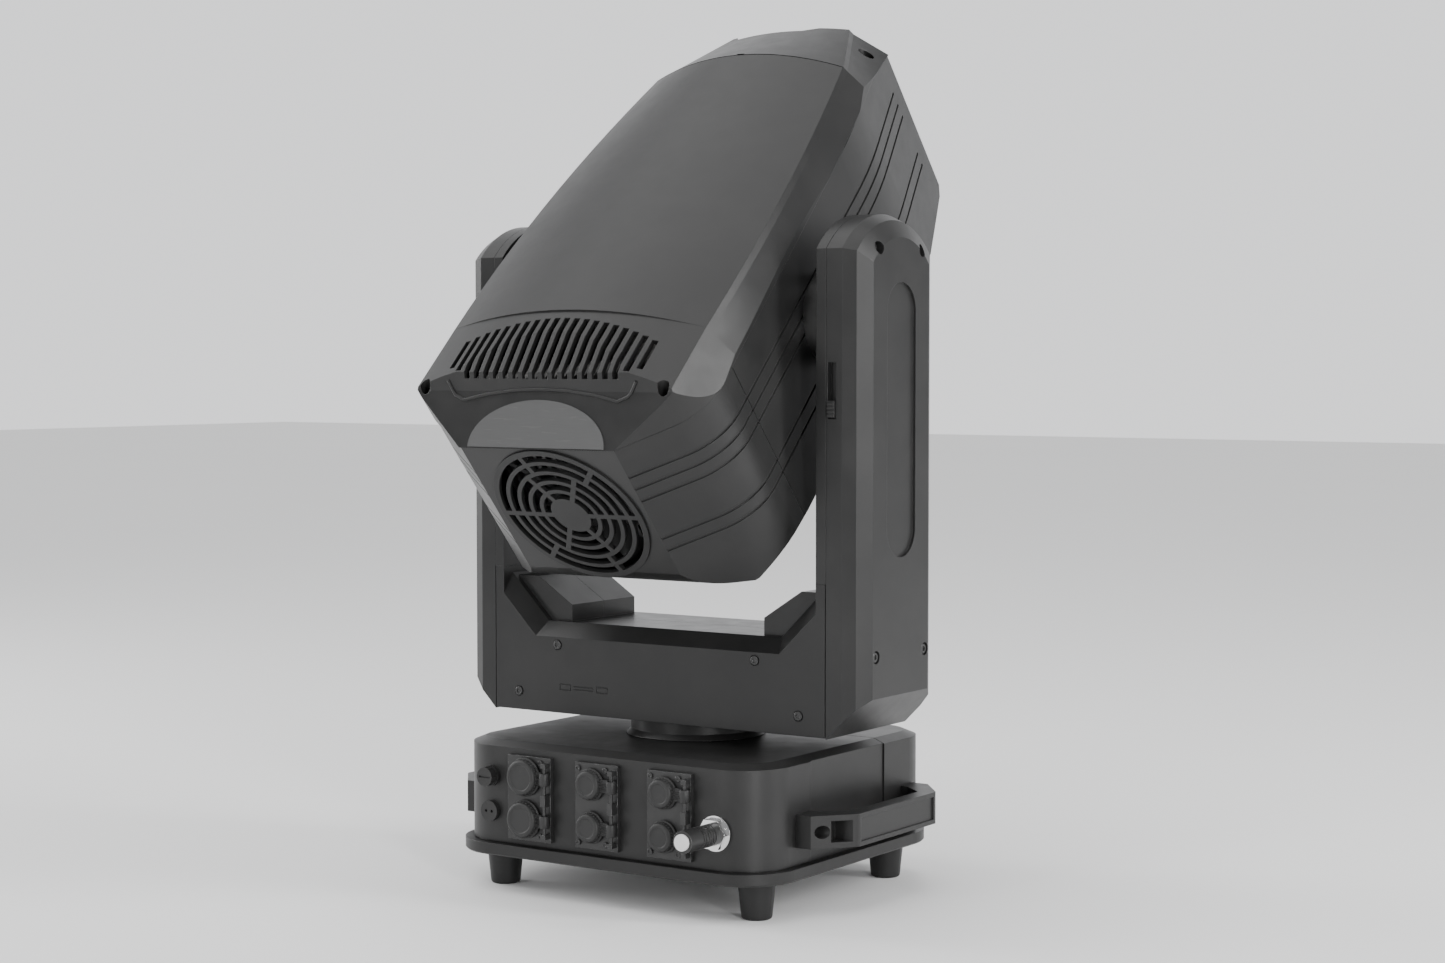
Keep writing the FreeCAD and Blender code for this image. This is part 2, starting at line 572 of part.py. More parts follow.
def crossbar():
    """The yoke's crossbar: a bevelled cover with raised gussets, split front from rear."""
    bar = new_body("bar_block")
    knee = "bar_top + arm_inner - 126"
    side = [("126", "bar_top"), ("arm_inner", knee), ("arm_inner", "bar_band_top"),
            ("bar_end", "bar_band_top"), ("bar_end", "yoke_bottom")]
    corners = [(f"-({x})", z) for x, z in reversed(side)] + side
    grow(bar, outline(sketch_on(bar, "XZ_Plane"), corners), "2 * yoke_half_depth", midplane=True)
    face, top, end = size("yoke_half_depth"), size("bar_top"), size("arm_inner")

    def upper_rim(edge):
        box_ = edge.BoundBox
        on_face = abs(abs(box_.YMin) - face) < 0.1 and box_.YLength < 0.1
        return on_face and box_.ZMin > top - 0.1 and max(abs(box_.XMin), abs(box_.XMax)) < end + 0.1 \
            and box_.XLength > 1

    soften(bar, upper_rim, "bar_bevel", "Chamfer")
    gussets = []
    for side_sign, name in ((1, "right"), (-1, "left")):
        wedge = new_body("gusset_" + name)
        shape = [("gusset_in", "bar_top - 1"), ("gusset_in", "gusset_low"), ("gusset_knee", "gusset_top"),
                 ("arm_inner", "gusset_top"), ("arm_inner", "bar_top - 1")]
        shape = [(f"{side_sign} * ({x})", z) for x, z in shape]
        grow(wedge, outline(sketch_on(wedge, "XZ_Plane"), shape), "2 * gusset_depth", midplane=True)
        gussets.append(wedge)
    inside = box("bar_inside", ("-bar_end + 4 * bar_wall", "-bar_inside_half", "yoke_bottom + bar_wall"),
                 ("2 * (bar_end - 4 * bar_wall)", "2 * bar_inside_half",
                  "bar_top - yoke_bottom - 2 * bar_wall"))
    passage = box("frame_passage", ("-bar_end - 1", "-46", "yoke_bottom + 9"), ("2 * bar_end + 2", "92", "6"))
    neck = rod("neck_hole", ("0", "0", "yoke_bottom - 1"), "30", "bar_wall + 2")
    tools = [inside, passage, neck]
    for x, z in bar_screw_places():
        for face_sign in (-1, 1):
            start = f"{face_sign} * yoke_half_depth - ({face_sign} * 1.2)"
            inwards = ALONG_Y if face_sign > 0 else AGAINST_Y
            tools.append(rod("screw_well", (x, start, z), "4.8", "5", inwards))
    tools += badge_lines()
    hollow = cut("bar_shell", fuse("bar_solid", [bar] + gussets), tools)
    for label, y in (("rear", "-200 - bar_split / 2"), ("front", "bar_split / 2")):
        zone = box("bar_zone_" + label, ("-250", y, "0"), ("500", "200", "400"))
        keep(common("bar_half_" + label, [hollow, zone]), "crossbar_cover_" + label)


def bar_screw_places():
    return [(f"{side} * {x}", z) for side in (-1, 1) for x, z in (("106.4", "212"), ("150.7", "167.4"))]


def badge_lines():
    """A plain engraved pattern on the crossbar: two small frames joined by two lines."""
    face = "-yoke_half_depth - 1"
    lines = []
    for x in (-104, -63):
        for dx, dz, wide, tall in ((0, 0, 13, 0.9), (0, 5, 13, 0.9), (0, 0, 0.9, 5.9), (12.1, 0, 0.9, 5.9)):
            lines.append(box("badge_line", (str(x + dx), face, str(171 + dz)), (str(wide), "1.7", str(tall))))
    for dz in (1.2, 3.8):
        lines.append(box("badge_line", ("-88", face, str(171 + dz)), ("22", "1.7", "0.9")))
    return lines


def centre_arc(sketch, edge, half, low, high):
    """Fix one edge of a sketch, an arc from (half, low) over (0, high), by its centre's height."""
    rise = f"({high} - {low})"
    index = sketch.addConstraint(Sketcher.Constraint("DistanceY", -1, 1, edge, 3, 1.0))
    bind(sketch, f"Constraints[{index}]", f"{low} - ({half} * {half} - {rise} * {rise}) / (2 * {rise})")


def arch_sketch(name, across, half, low, side_top, peak):
    """A tall outline with an arched top, standing at one distance from the pan axis."""
    sketch = doc.addObject("Sketcher::SketchObject", name)
    sketch.Placement = Placement(Vector(), Rotation(Vector(1, 1, 1), 120))
    bind(sketch, "Placement.Base.x", across)
    corners = [(f"-({half})", side_top), (f"-({half})", low), (half, low), (half, side_top)]
    points = [Vector(-60, 500, 0), Vector(-60, 150, 0), Vector(60, 150, 0), Vector(60, 500, 0)]
    for i in range(3):
        sketch.addGeometry(Part.LineSegment(points[i], points[i + 1]), False)
    arc = Part.ArcOfCircle(Part.Circle(Vector(0, 440, 0), Vector(0, 0, 1), 85), math.pi / 4, 3 * math.pi / 4)
    sketch.addGeometry(arc, False)
    for i in range(2):
        sketch.addConstraint(Sketcher.Constraint("Coincident", i, 2, i + 1, 1))
    sketch.addConstraint(Sketcher.Constraint("Coincident", 2, 2, 3, 1))
    sketch.addConstraint(Sketcher.Constraint("Coincident", 3, 2, 0, 1))
    for i, corner in enumerate(corners):
        line, end = (i, 1) if i < 3 else (2, 2)
        for kind, text in zip(("DistanceX", "DistanceY"), corner):
            index = sketch.addConstraint(Sketcher.Constraint(kind, -1, 1, line, end, 1.0 + i))
            bind(sketch, f"Constraints[{index}]", text)
    centre_arc(sketch, 3, f"({half})", f"({side_top})", f"({peak})")
    return sketch


def loft(name, sections, ruled=True):
    skin = doc.addObject("Part::Loft", name)
    skin.Sections = sections
    skin.Solid = True
    skin.Ruled = ruled
    return skin


def arms():
    """Each arm is an inner cover over the head's side and a deep outer cover with a long recess."""
    half, peak, side_top = "yoke_half_depth", "arm_peak", "arm_side_top"
    inner = loft("arm_inner_block", [
        arch_sketch("inner_near", "arm_inner", half, "bar_band_top", side_top, peak),
        arch_sketch("inner_far", "arm_seam - 0.3", half, "bar_band_top", side_top, peak)])
    inner_hollow = loft("arm_inner_hollow", [
        arch_sketch("hollow_near", "arm_inner + 3", f"{half} - 4", "bar_band_top + 4", side_top, f"{peak} - 5"),
        arch_sketch("hollow_far", "arm_seam + 1", f"{half} - 4", "bar_band_top + 4", side_top, f"{peak} - 5")])
    eye = rod("arm_eye", ("arm_inner - 1", "0", "pivot_height"), "axle_radius + 1", "12", ALONG_X)
    inner_cover = cut("arm_inner_shell", inner, [inner_hollow, eye])
    keep(inner_cover, "arm_inner_cover_right")
    keep(mirrored("arm_inner_twin", inner_cover), "arm_inner_cover_left")

    low = "yoke_bottom - 1"
    shoulder = "arm_shoulder - arm_seam"
    outer = loft("arm_outer_block", [
        arch_sketch("outer_seam", "arm_seam", half, low, side_top, peak),
        arch_sketch("outer_shoulder", "arm_shoulder", half, f"{low} + {shoulder}", side_top, peak),
        arch_sketch("outer_edge", "arm_edge", f"{half} - arm_edge_inset", f"{low} + arm_edge - arm_seam",
                    f"{side_top} - 2", f"{peak} - arm_edge_inset"),
        arch_sketch("outer_face", "arm_outer", f"{half} - arm_face_inset", f"{low} + arm_outer - arm_seam",
                    f"{side_top} - 11", f"{peak} - arm_face_inset")])
    hollows = [box("arm_hollow_deep", ("arm_seam + 7", "-50", "182"), ("19", "100", "365")),
               box("arm_hollow_shallow", ("arm_seam - 1", "-50", "yoke_bottom + 9"), ("8.5", "100", "388"))]
    middle = "(recess_low + recess_high) / 2"
    floor = "arm_outer - recess_depth"
    hollows.append(box("recess_bar", (floor, "-recess_half", "recess_low + recess_half"),
                       ("10", "2 * recess_half", "recess_high - recess_low - 2 * recess_half")))
    for end in ("recess_low + recess_half", "recess_high - recess_half"):
        hollows.append(rod("recess_end", (floor, "0", end), "recess_half", "10", ALONG_X))
    for x, y, z in arm_screw_places():
        hollows.append(rod("arm_screw_well", (f"{x}", y, z), "5.6", "20", ALONG_X))
    shell = cut("arm_outer_shell", outer, hollows)
    slot = box("lock_slot", ("arm_seam + 1.5", "-yoke_half_depth - 1", "lock_slot_low"),
               ("8", "7", "lock_slot_high - lock_slot_low"))
    keep(cut("arm_outer_slotted", shell, [slot]), "arm_outer_cover_right")
    keep(mirrored("arm_outer_twin", shell), "arm_outer_cover_left")
    slider = box("lock_slider", ("arm_seam + 2", "-yoke_half_depth - 2.5", "lock_slot_low + 1"),
                 ("7", "8", "14"))
    ridge = [box("lock_grip", ("arm_seam + 1", "-yoke_half_depth - 3", f"lock_slot_low + {3.4 + 3.2 * i}"),
                 ("9", "1.2", "1.2")) for i in range(4)]
    keep(cut("lock_shape", slider, ridge), "tilt_lock")


def arm_screw_places():
    return [("arm_edge - 2", "-35.5", "arm_side_top + 1"), ("arm_edge - 2", "35.5", "arm_side_top + 1"),
            ("arm_outer - 4", "-41", "218.7"), ("arm_outer - 4", "41", "218.7")]


def yoke_screws():
    screws = []
    for x, z in bar_screw_places():
        for face_sign in (-1, 1):
            turn = ALONG_Y if face_sign < 0 else AGAINST_Y
            at = (x, f"{face_sign} * (yoke_half_depth + 0.8)", z)
            screws.append(cap_screw(at, turn, 4, 2))
    for x, y, z in arm_screw_places():
        for side, turn in ((1, ALONG_X.inverted()), (-1, ALONG_X)):
            screws.append(cap_screw((f"{side} * ({x} + 3)", y, z), turn, 4.4, 3))
    keep(group("yoke_screw_set", screws), "yoke_screws")


def yoke_insides():
    """Turntable, welded frame, motors and the pinions that drive pan and tilt."""
    disc = rod("turn_disc", ("0", "0", "turntable_bottom"), "turntable_radius",
               "yoke_bottom - turntable_bottom")
    step = cone("turn_step", ("0", "0", "turntable_bottom"), "turntable_radius + 4", "turntable_radius", "5")
    neck = rod("turn_neck", ("0", "0", "yoke_bottom - 1"), "30", "10.4")
    bore = rod("turn_bore", ("0", "0", "0"), "shaft_radius + hinge_fit", "300")
    keep(cut("turntable_solid", fuse("turntable_blank", [disc, step, neck]), [bore]), "turntable")
    floor = box("frame_floor", ("-arm_seam - 6", "-45", "yoke_bottom + 9.4"),
                ("2 * arm_seam + 12", "90", "5"))
    posts = [box("frame_post", (x, "-45", "yoke_bottom + 9.4"), ("5", "90", "384"))
             for x in ("arm_seam + 1", "-arm_seam - 6")]
    eye = rod("frame_eye", ("0", "0", "yoke_bottom"), "shaft_radius + 1", "40")
    bearing = rod("frame_bearing", ("-300", "0", "pivot_height"), "axle_radius + hinge_fit", "600", ALONG_X)
    keep(cut("frame_solid", fuse("frame_blank", [floor] + posts), [eye, bearing]), "yoke_frame")
    deck = "yoke_bottom + 14.4"
    motor = box("pan_motor_block", ("pan_motor_place - 25", "-25", f"{deck} + 26"), ("50", "50", "34"))
    legs = [rod("motor_leg", (f"pan_motor_place + {x}", str(y), deck), "3.5", "26")
            for x in (-20, 20) for y in (-20, 20)]
    socket_ = rod("motor_bore", ("pan_motor_place", "0", deck), "3 + hinge_fit", "40")
    pan_motor = cut("pan_motor_solid", fuse("pan_motor_blank", [motor] + legs), [socket_])
    wheel = rod("pan_pinion_wheel", ("pan_motor_place", "0", "yoke_bottom + 26"), "pinion_radius", "12")
    stem = rod("pan_pinion_stem", ("pan_motor_place", "0", "yoke_bottom + 26"), "3", "26")
    keep(fuse("pan_pinion_solid", [wheel, stem]), "pan_pinion")
    at_z = "pivot_height - 175"
    block = box("tilt_motor_block", ("arm_seam + 16.4", "-26", f"{at_z} - 26"), ("9.4", "52", "52"))
    plate = box("tilt_motor_plate", ("arm_seam + 6", "-26", f"{at_z} - 26"), ("10.4", "8", "52"))
    seat = rod("tilt_motor_bore", ("arm_seam + 7", "0", at_z), "3 + hinge_fit", "17", ALONG_X)
    tilt_motor = cut("tilt_motor_solid", fuse("tilt_motor_blank", [block, plate]), [seat])
    keep(group("motor_pair", [pan_motor, tilt_motor]), "yoke_motors")
    wheel = rod("tilt_pinion_wheel", ("arm_seam + 8", "0", at_z), "pinion_radius", "8", ALONG_X)
    stem = rod("tilt_pinion_stem", ("arm_seam + 8", "0", at_z), "3", "14", ALONG_X)
    keep(fuse("tilt_pinion_solid", [wheel, stem]), "tilt_pinion")


# --- head: its own frame has X across, Y along the axis towards the lens, Z to the crown ---

HEAD_PLANE = Rotation(Vector(1, 0, 0), 90)


def in_head(thing, label):
    """Lean a finished head piece back on the tilt axis and keep it."""
    thing.Placement = Placement(Vector(), Rotation(Vector(1, 0, 0), 1))
    bind(thing, "Placement.Base.z", "pivot_height")
    bind(thing, "Placement.Rotation.Angle", "90 - head_lean")
    return keep(thing, label)


def head_section(station, inset, drop="0"):
    """One cross-section: crowned roof between two ledges, facets, rounded sides and a flat belly."""
    sketch = doc.addObject("Sketcher::SketchObject", f"{station}_section")
    sketch.Placement = Placement(Vector(), HEAD_PLANE)
    bind(sketch, "Placement.Base.y", station + "_along")
    ridge, ridge_high = f"({station}_ridge - {inset})", f"({station}_ridge_high - {inset})"
    eave, eave_high = f"({station}_eave - {inset})", f"({station}_eave_high - {inset})"
    crown = f"({station}_crown - {inset} - {drop})"
    belly, rise = f"(belly_low + {inset})", f"({station}_wall_low - belly_low)"
    right = [(f"{eave} - chine_width", belly), (f"{eave} - 0.42 * chine_width", f"{belly} + 0.2 * {rise}"),
             (f"{eave} - 0.12 * chine_width", f"{belly} + 0.55 * {rise}"),
             (eave, f"{belly} + {rise}"), (eave, eave_high),
             (f"{ridge} + ledge_out", f"{ridge_high} - ledge_drop"), (ridge, ridge_high)]
    left = [(f"-({x})", z) for x, z in reversed(right)]
    corners = right + left
    count = len(corners)
    roof = len(right) - 1
    turns = [2 * math.pi * (i + 0.5) / count - math.pi / 2 for i in range(count + 1)]
    spots = [Vector(130 * math.cos(turn), 110 * math.sin(turn), 0) for turn in turns]
    for i in range(count):
        if i == roof:
            sketch.addGeometry(Part.Arc(spots[i], Vector(0, 120, 0), spots[i + 1]), False)
        else:
            sketch.addGeometry(Part.LineSegment(spots[i], spots[i + 1]), False)
    for i in range(count):
        sketch.addConstraint(Sketcher.Constraint("Coincident", i, 2, (i + 1) % count, 1))
    for i, corner in enumerate(corners):
        for kind, text in zip(("DistanceX", "DistanceY"), corner):
            index = sketch.addConstraint(Sketcher.Constraint(kind, -1, 1, i, 1, 1.0 + i))
            bind(sketch, f"Constraints[{index}]", text)
    centre_arc(sketch, roof, ridge, ridge_high, crown)
    return sketch


def head_plan(name, inset, front="0"):
    """The head's outline from above, tapering to the lens, grown to its full thickness."""
    body = new_body(name)
    taper = "(waist_half - front_half) / (head_front - waist_along)"
    right = [("rear_flat", f"head_rear + {inset}"), (f"rear_corner_half - {inset}", "rear_corner_along"),
             (f"waist_half - {inset}", "waist_along"),
             (f"front_half - {inset} - {front} * {taper}", f"head_front + {front}")]
    left = [(f"-({x})", y) for x, y in reversed(right)]
    grow(body, outline(sketch_on(body, "XY_Plane"), right + left), "400", midplane=True)
    corner, waist = size("rear_corner_along"), size("waist_along")
    soften(body, lambda edge: runs_along(edge, 2) and abs(edge.BoundBox.YMin - corner) < 1, "rear_corner_round")
    soften(body, lambda edge: runs_along(edge, 2) and abs(edge.BoundBox.YMin - waist) < 1, "waist_round")
    return body


def head_profile(name, inset, front="0"):
    """The head's outline from the side: rear face, label slope, vent slope, nose and belly."""
    body = new_body(name)
    corners = [(f"head_rear + {inset}", f"rear_low + {inset} / 2"),
               (f"head_rear + {inset}", f"rear_high - {inset} / 2"),
               (f"label_fold + {inset} / 2", f"label_fold_high - {inset}"),
               (f"vent_fold + {inset} / 2", f"vent_fold_high - {inset}"),
               (f"crown_step - 25 + {inset} / 4", f"126 - {inset}"),
               (f"crown_step + {inset} / 4", f"131 - {inset}"),
               ("crown_step + 1 + " + inset, "170"), (f"head_front + {front}", "170"),
               (f"head_front + {front}", f"rear_low + 3 + {inset} + ({front}) * 0.7"),
               (f"head_front - 40", f"belly_low + {inset}"), (f"head_front - 60", "belly_low - 20"),
               ("head_rear + 72", "belly_low - 20"), (f"head_rear + 44 + {inset} / 2", f"belly_low + {inset}")]
    grow(body, outline(sketch_on(body, "YZ_Plane"), corners), "400", midplane=True)
    rear_foot = size("head_rear") + 60

    def low_and_rear(edge):
        return runs_along(edge, 0) and edge.BoundBox.YMax < rear_foot and edge.BoundBox.ZMax < 0

    soften(body, low_and_rear, "rear_rounding")
    return body


def head_block(name, inset, front="0"):
    """The head's whole outer form, or the same form shrunk by an inset."""
    tail = loft(name + "_tail", [head_section("tail", inset, "1.5"), head_section("step", inset, "1.5")])
    main = loft(name + "_main", [head_section(key, inset) for key in ("step", "middle", "seam")], ruled=False)
    nose = loft(name + "_nose", [head_section("seam", inset), head_section("nose", inset)])
    form = fuse(name + "_form", [tail, main, nose])
    plan = head_plan(name + "_plan", inset, front)
    profile = head_profile(name + "_profile", inset, front)
    return common(name, [form, plan, profile])


def roof_zone(name, drop):
    """Everything above the joint between the top cover and the lower covers."""
    body = new_body(name)
    line = [("-320", "rear_high - 1"), ("-205", "72.5"), ("-150", "76"),
            ("180", "86"), ("240", "82"), ("330", "62")]
    corners = [(y, f"{z} - {drop}") for y, z in line] + [("330", "220"), ("-320", "220")]
    grow(body, outline(sketch_on(body, "YZ_Plane"), corners), "420", midplane=True)
    return body


def head_covers():
    """Top, nose, lower and rear covers, with vents, grooves, grille hole and screw pockets."""
    outer = head_block("head_outer", "0")
    inner = head_block("head_inner", "head_skin", "20")
    roof = roof_zone("roof_above", "0")
    nose_zone = new_body("nose_zone")
    across, along = "seam_ridge", "nose_seam"
    corners = [(f"-{across}", along), (across, along), ("nose_ridge", "305"), ("-nose_ridge", "305")]
    grow(nose_zone, outline(sketch_on(nose_zone, "XY_Plane"), corners), "300")
    bosses = [rod("screw_boss", (x, y, z), "8.5", "50") for x, y, z in head_screw_places(-10)]
    bosses = common("boss_set", [fuse("boss_rods", bosses), outer])
    wells = [rod("screw_pocket", (x, y, z), "5.5", "60") for x, y, z in head_screw_places(0)]
    slots = vent_slots()
    shell = cut("head_shell", outer, [inner])
    roof_shell = common("roof_shell", [fuse("roof_with_bosses", [shell, bosses]), roof])
    keep_clear = box("nose_gap", ("-seam_ridge", "nose_seam - head_gap", "60"),
                     ("2 * seam_ridge", "head_gap", "200"))
    in_head(cut("top_solid", roof_shell, [nose_zone, keep_clear] + wells + slots), "head_top_cover")
    notch = box("nose_notch", ("-4", "nose_seam - 1", "100"), ("8", "3.4", "100"))
    brow = new_body("nose_brow")
    corners = [("-60", "head_front + 1"), ("-55", "head_front - 8"),
               ("20", "head_front - 8"), ("36", "head_front + 1")]
    grow(brow, outline(sketch_on(brow, "XY_Plane", "90"), corners), "60")
    nose_shell = common("nose_shell", [shell, roof, nose_zone])
    in_head(cut("nose_solid", nose_shell, [notch, brow]), "head_nose_cover")

    slim = head_plan("slim_plan", "cover_overhang")
    below = cut("below_roof", common("below_shell", [shell, slim]), [roof_zone("roof_below", "head_gap")])
    grooved = cut("grooved_shell", below, [grooves()])
    hole = rod("grille_hole", ("0", "head_rear - 10", "grille_high"), "grille_radius", "40", ALONG_Y)
    back = box("rear_zone", ("-200", "-400", "-200"), ("400", "400 + lower_seam", "400"))
    rest = box("lower_zone", ("-200", "lower_seam + head_gap", "-200"), ("400", "600", "400"))
    in_head(cut("rear_solid", common("rear_shell", [grooved, back]), [hole]), "head_rear_cover")
    in_head(common("lower_solid", [grooved, rest]), "head_lower_cover")


def head_screw_places(offset):
    return [(f"{side} * {x}", y, f"{z} + {offset}") for side in (-1, 1)
            for x, y, z in (("124", "-208", "86"), ("88", "272", "74"))]


def vent_slots():
    """A row of straight vents across the rear of the roof, shorter towards the sides."""
    slots = []
    for i in range(20):
        across = i - 9.5
        trim = 16 * (across / 9.5) ** 2
        tail = -205 + 9 * max(0, abs(across) - 7.5) / 2
        front = -148 - trim
        slots.append(box("vent_slot", (f"{across} * slot_pitch - slot_width / 2", str(round(tail, 2)), "86"),
                         ("slot_width", str(round(front - tail, 2)), "80")))
    return slots


def grooves():
    """Parallel grooves round the head's sides, ending beside the fan grille and short of the nose."""
    slabs = []
    for high in ["groove_upper", "groove_upper + groove_pitch", "groove_upper + 2 * groove_pitch",
                 "groove_lower", "groove_lower + groove_pitch"]:
        slabs.append(box("groove_slab", ("-200", "head_rear - 20", f"{high} - groove_width / 2"),
                         ("400", "head_front - head_rear", "groove_width")))
    core = head_plan("groove_core", "(cover_overhang + groove_depth)")
    gap = box("groove_stop", ("-rear_flat", "head_rear - 30", "-100"), ("2 * rear_flat", "100", "200"))
    return cut("groove_set", fuse("groove_slabs", slabs), [core, gap])


def fan_grille():
    """The moulded round grille: rings and staggered spokes round a solid hub."""
    disc = rod("grille_disc", ("0", "head_rear", "grille_high"), "grille_radius", "head_skin", ALONG_Y)
    tools = []
    for ring in range(5):
        inner = f"grille_hub + 2 + {ring} * ring_pitch"
        at = ("0", "head_rear - 1", "grille_high")
        outer_rod = rod("ring_outer", at, f"{inner} + ring_gap", "head_skin + 2", ALONG_Y)
        inner_rod = rod("ring_inner", at, inner, "head_skin + 2", ALONG_Y)
        spokes = []
        for spoke in range(3):
            bar = box("spoke", ("-100", "0", "-spoke_width / 2"), ("200", "head_skin + 4", "spoke_width"))
            lean = 60 * spoke + (12 if ring > 2 and spoke else 0)
            turn = Rotation(Vector(0, 1, 0), lean)
            spokes.append(turned("spoke_turned", bar, turn, ("0", "head_rear - 2", "grille_high")))
        tools.append(cut("ring_slots", outer_rod, [inner_rod] + spokes))
    in_head(cut("grille_solid", disc, tools), "fan_grille")


def label_plate():
    """A blank half-oval plate on the slope above the grille."""
    low, high = size("rear_high"), size("label_fold_high")
    lean = math.atan2(high - low, size("label_fold") - size("head_rear"))
    up_slope = Vector(0, math.cos(lean), math.sin(lean))
    outwards = Vector(0, -math.sin(lean), math.cos(lean))
    centre = Vector(0, size("head_rear"), low) + up_slope * 1.5
    side, peak = centre + Vector(size("label_half"), 0, 0), centre + up_slope * size("label_rise")
    oval = Part.Ellipse(side, peak, centre)
    arc = oval.toShape(0, math.pi)
    chord = Part.LineSegment(arc.Vertexes[1].Point, arc.Vertexes[0].Point).toShape()
    item = doc.addObject("Part::Feature", "label_blank")
    item.Shape = Part.Face(Part.Wire([arc, chord])).extrude(outwards * size("label_thickness"))
    in_head(item, "label_plate")


def head_front():
    """The front window and the bezel that holds it."""
    block = common("bezel_block", [head_block("bezel_form", "head_skin", "20"),
                                   box("bezel_zone", ("-200", "head_front - 13", "-200"), ("400", "9", "400"))])
    seat = rod("lens_seat", ("0", "head_front - 20", "0"), "lens_radius", "14", ALONG_Y)
    mouth = rod("lens_mouth", ("0", "head_front - 20", "0"), "lens_radius - 4", "30", ALONG_Y)
    in_head(cut("bezel_solid", block, [seat, mouth]), "front_bezel")
    pane = rod("lens_pane", ("0", "head_front - 18", "0"), "lens_radius", "12", ALONG_Y)
    ball = doc.addObject("Part::Sphere", "lens_ball")
    bind(ball, "Radius", "420")
    place(ball, ("0", "head_front - 426", "0"))
    in_head(common("lens_solid", [pane, ball]), "front_lens")


def head_insides():
    """Fan rotor, heat sink, optics frame, gobo wheel and focus carriage."""
    centre = ("0", "fan_place", "grille_high")
    hub = rod("fan_hub", centre, "24", "18", ALONG_Y)
    blades = []
    pitch = Rotation(Vector(0, 0, 1), 38)
    for i in range(7):
        blade = box("fan_blade", ("6", "-9", "20"), ("3", "22", "fan_radius - 20"), pitch)
        turn = Rotation(Vector(0, 1, 0), 360 / 7 * i)
        blades.append(turned("fan_blade_turned", blade, turn, ("0", "fan_place + 9", "grille_high")))
    bore = rod("fan_bore", ("0", "fan_place + 6", "grille_high"), "3 + hinge_fit", "30", ALONG_Y)
    in_head(cut("fan_solid", fuse("fan_blank", [hub] + blades), [bore]), "fan_rotor")
    base = box("sink_base", ("-95", "-160", "-75"), ("190", "12", "150"))
    fins = [box("sink_fin", (f"{-93 + 9.95 * i}", "-206", "-75"), ("4", "47", "165")) for i in range(19)]
    motor = rod("fan_motor", ("0", "fan_place + 20", "grille_high"), "22", "14", ALONG_Y)
    pin = rod("fan_pin", ("0", "fan_place + 8", "grille_high"), "3", "20", ALONG_Y)
    in_head(fuse("sink_solid", [base] + fins + [motor, pin]), "heat_sink")
    plate = box("optics_plate", ("-90", "-76", "-85"), ("180", "4", "160"))
    engine = rod("engine_barrel", ("0", "-148", "0"), "38", "73", ALONG_Y)
    rails = [rod("optics_rail", (x, "-73", "0"), "5", "330", ALONG_Y) for x in ("-84", "84")]
    hoop = box("optics_hoop", ("-91", "250", "-20"), ("182", "5", "40"))
    light = rod("optics_light", ("0", "240", "0"), "70", "30", ALONG_Y)
    pin = rod("wheel_pin", ("0", "-73", "-46"), "4", "24", ALONG_Y)
    ring = cut("hoop_ring", hoop, [light])
    in_head(fuse("optics_solid", [plate, engine, ring, pin] + rails), "optics_frame")
    disc = rod("gobo_disc", ("0", "-62", "-46"), "58", "3", ALONG_Y)
    holes = [rod("gobo_bore", ("0", "-80", "-46"), "4 + hinge_fit", "60", ALONG_Y)]
    for i in range(7):
        angle = math.radians(90 + 360 / 7 * i)
        at = (f"{40 * math.cos(angle):.3f}", "-70", f"{-46 + 40 * math.sin(angle):.3f}")
        holes.append(rod("gobo_window", at, "13", "20", ALONG_Y))
    in_head(cut("gobo_solid", disc, holes), "gobo_wheel")
    slab = box("carriage_slab", ("-92", "60", "-60"), ("184", "10", "120"))
    openings = [rod("carriage_eye", ("0", "50", "0"), "45", "30", ALONG_Y)]
    openings += [rod("carriage_bore", (x, "50", "0"), "5 + hinge_fit", "30", ALONG_Y) for x in ("-84", "84")]
    in_head(cut("carriage_solid", slab, openings), "focus_carriage")


def tilt_axles():
    """Hollow-looking trunnions on the head's sides; the right one carries the tilt pulley."""
    core = head_plan("trunnion_core", "cover_overhang")
    axles = []
    for side, label in ((1, "right"), (-1, "left")):
        drum = rod(f"drum_{label}", (f"{side} * 100", "0", "0"), "trunnion_radius", "arm_inner - 100.6",
                   ALONG_X if side > 0 else ALONG_X.inverted())
        drum = cut(f"drum_{label}_end", drum, [core])
        axle = rod(f"axle_{label}", (f"{side} * (arm_inner - 1)", "0", "0"), "axle_radius", "24",
                   ALONG_X if side > 0 else ALONG_X.inverted())
        parts = [drum, axle]
        if side > 0:
            parts.append(rod("tilt_pulley", ("arm_seam + 8", "0", "0"), "pulley_radius", "8", ALONG_X))
        axles.append(fuse(f"axle_{label}_solid", parts))
    in_head(group("axle_pair", axles), "tilt_axles")


def head_screws():
    screws = []
    for x, y, z in head_screw_places(0):
        screws.append(cap_screw((x, y, f"{z} + 4"), Rotation(Vector(1, 0, 0), 180), 4.4, 4))
    in_head(group("head_screw_set", screws), "head_screws")


base_tray()
base_housings()
rubber_feet()
handle()
sockets_and_caps()
small_fittings()
display_side()
base_screws()
base_insides()
crossbar()
arms()
yoke_screws()
yoke_insides()
head_covers()
fan_grille()
label_plate()
head_front()
head_insides()
tilt_axles()
head_screws()
doc.recompute()

failed = [thing.Name for thing in doc.Objects if {"Invalid", "Error"} & set(thing.State)]
if failed:
    raise RuntimeError("failed: " + ", ".join(failed))
os.makedirs("parts", exist_ok=True)
for piece in pieces:
    if piece.Shape.isNull() or not piece.Shape.isValid():
        raise RuntimeError(piece.Label + " has no valid shape")
    piece.Shape.exportStep(f"parts/{piece.Label}.step")
print(len(pieces), "sub-parts")
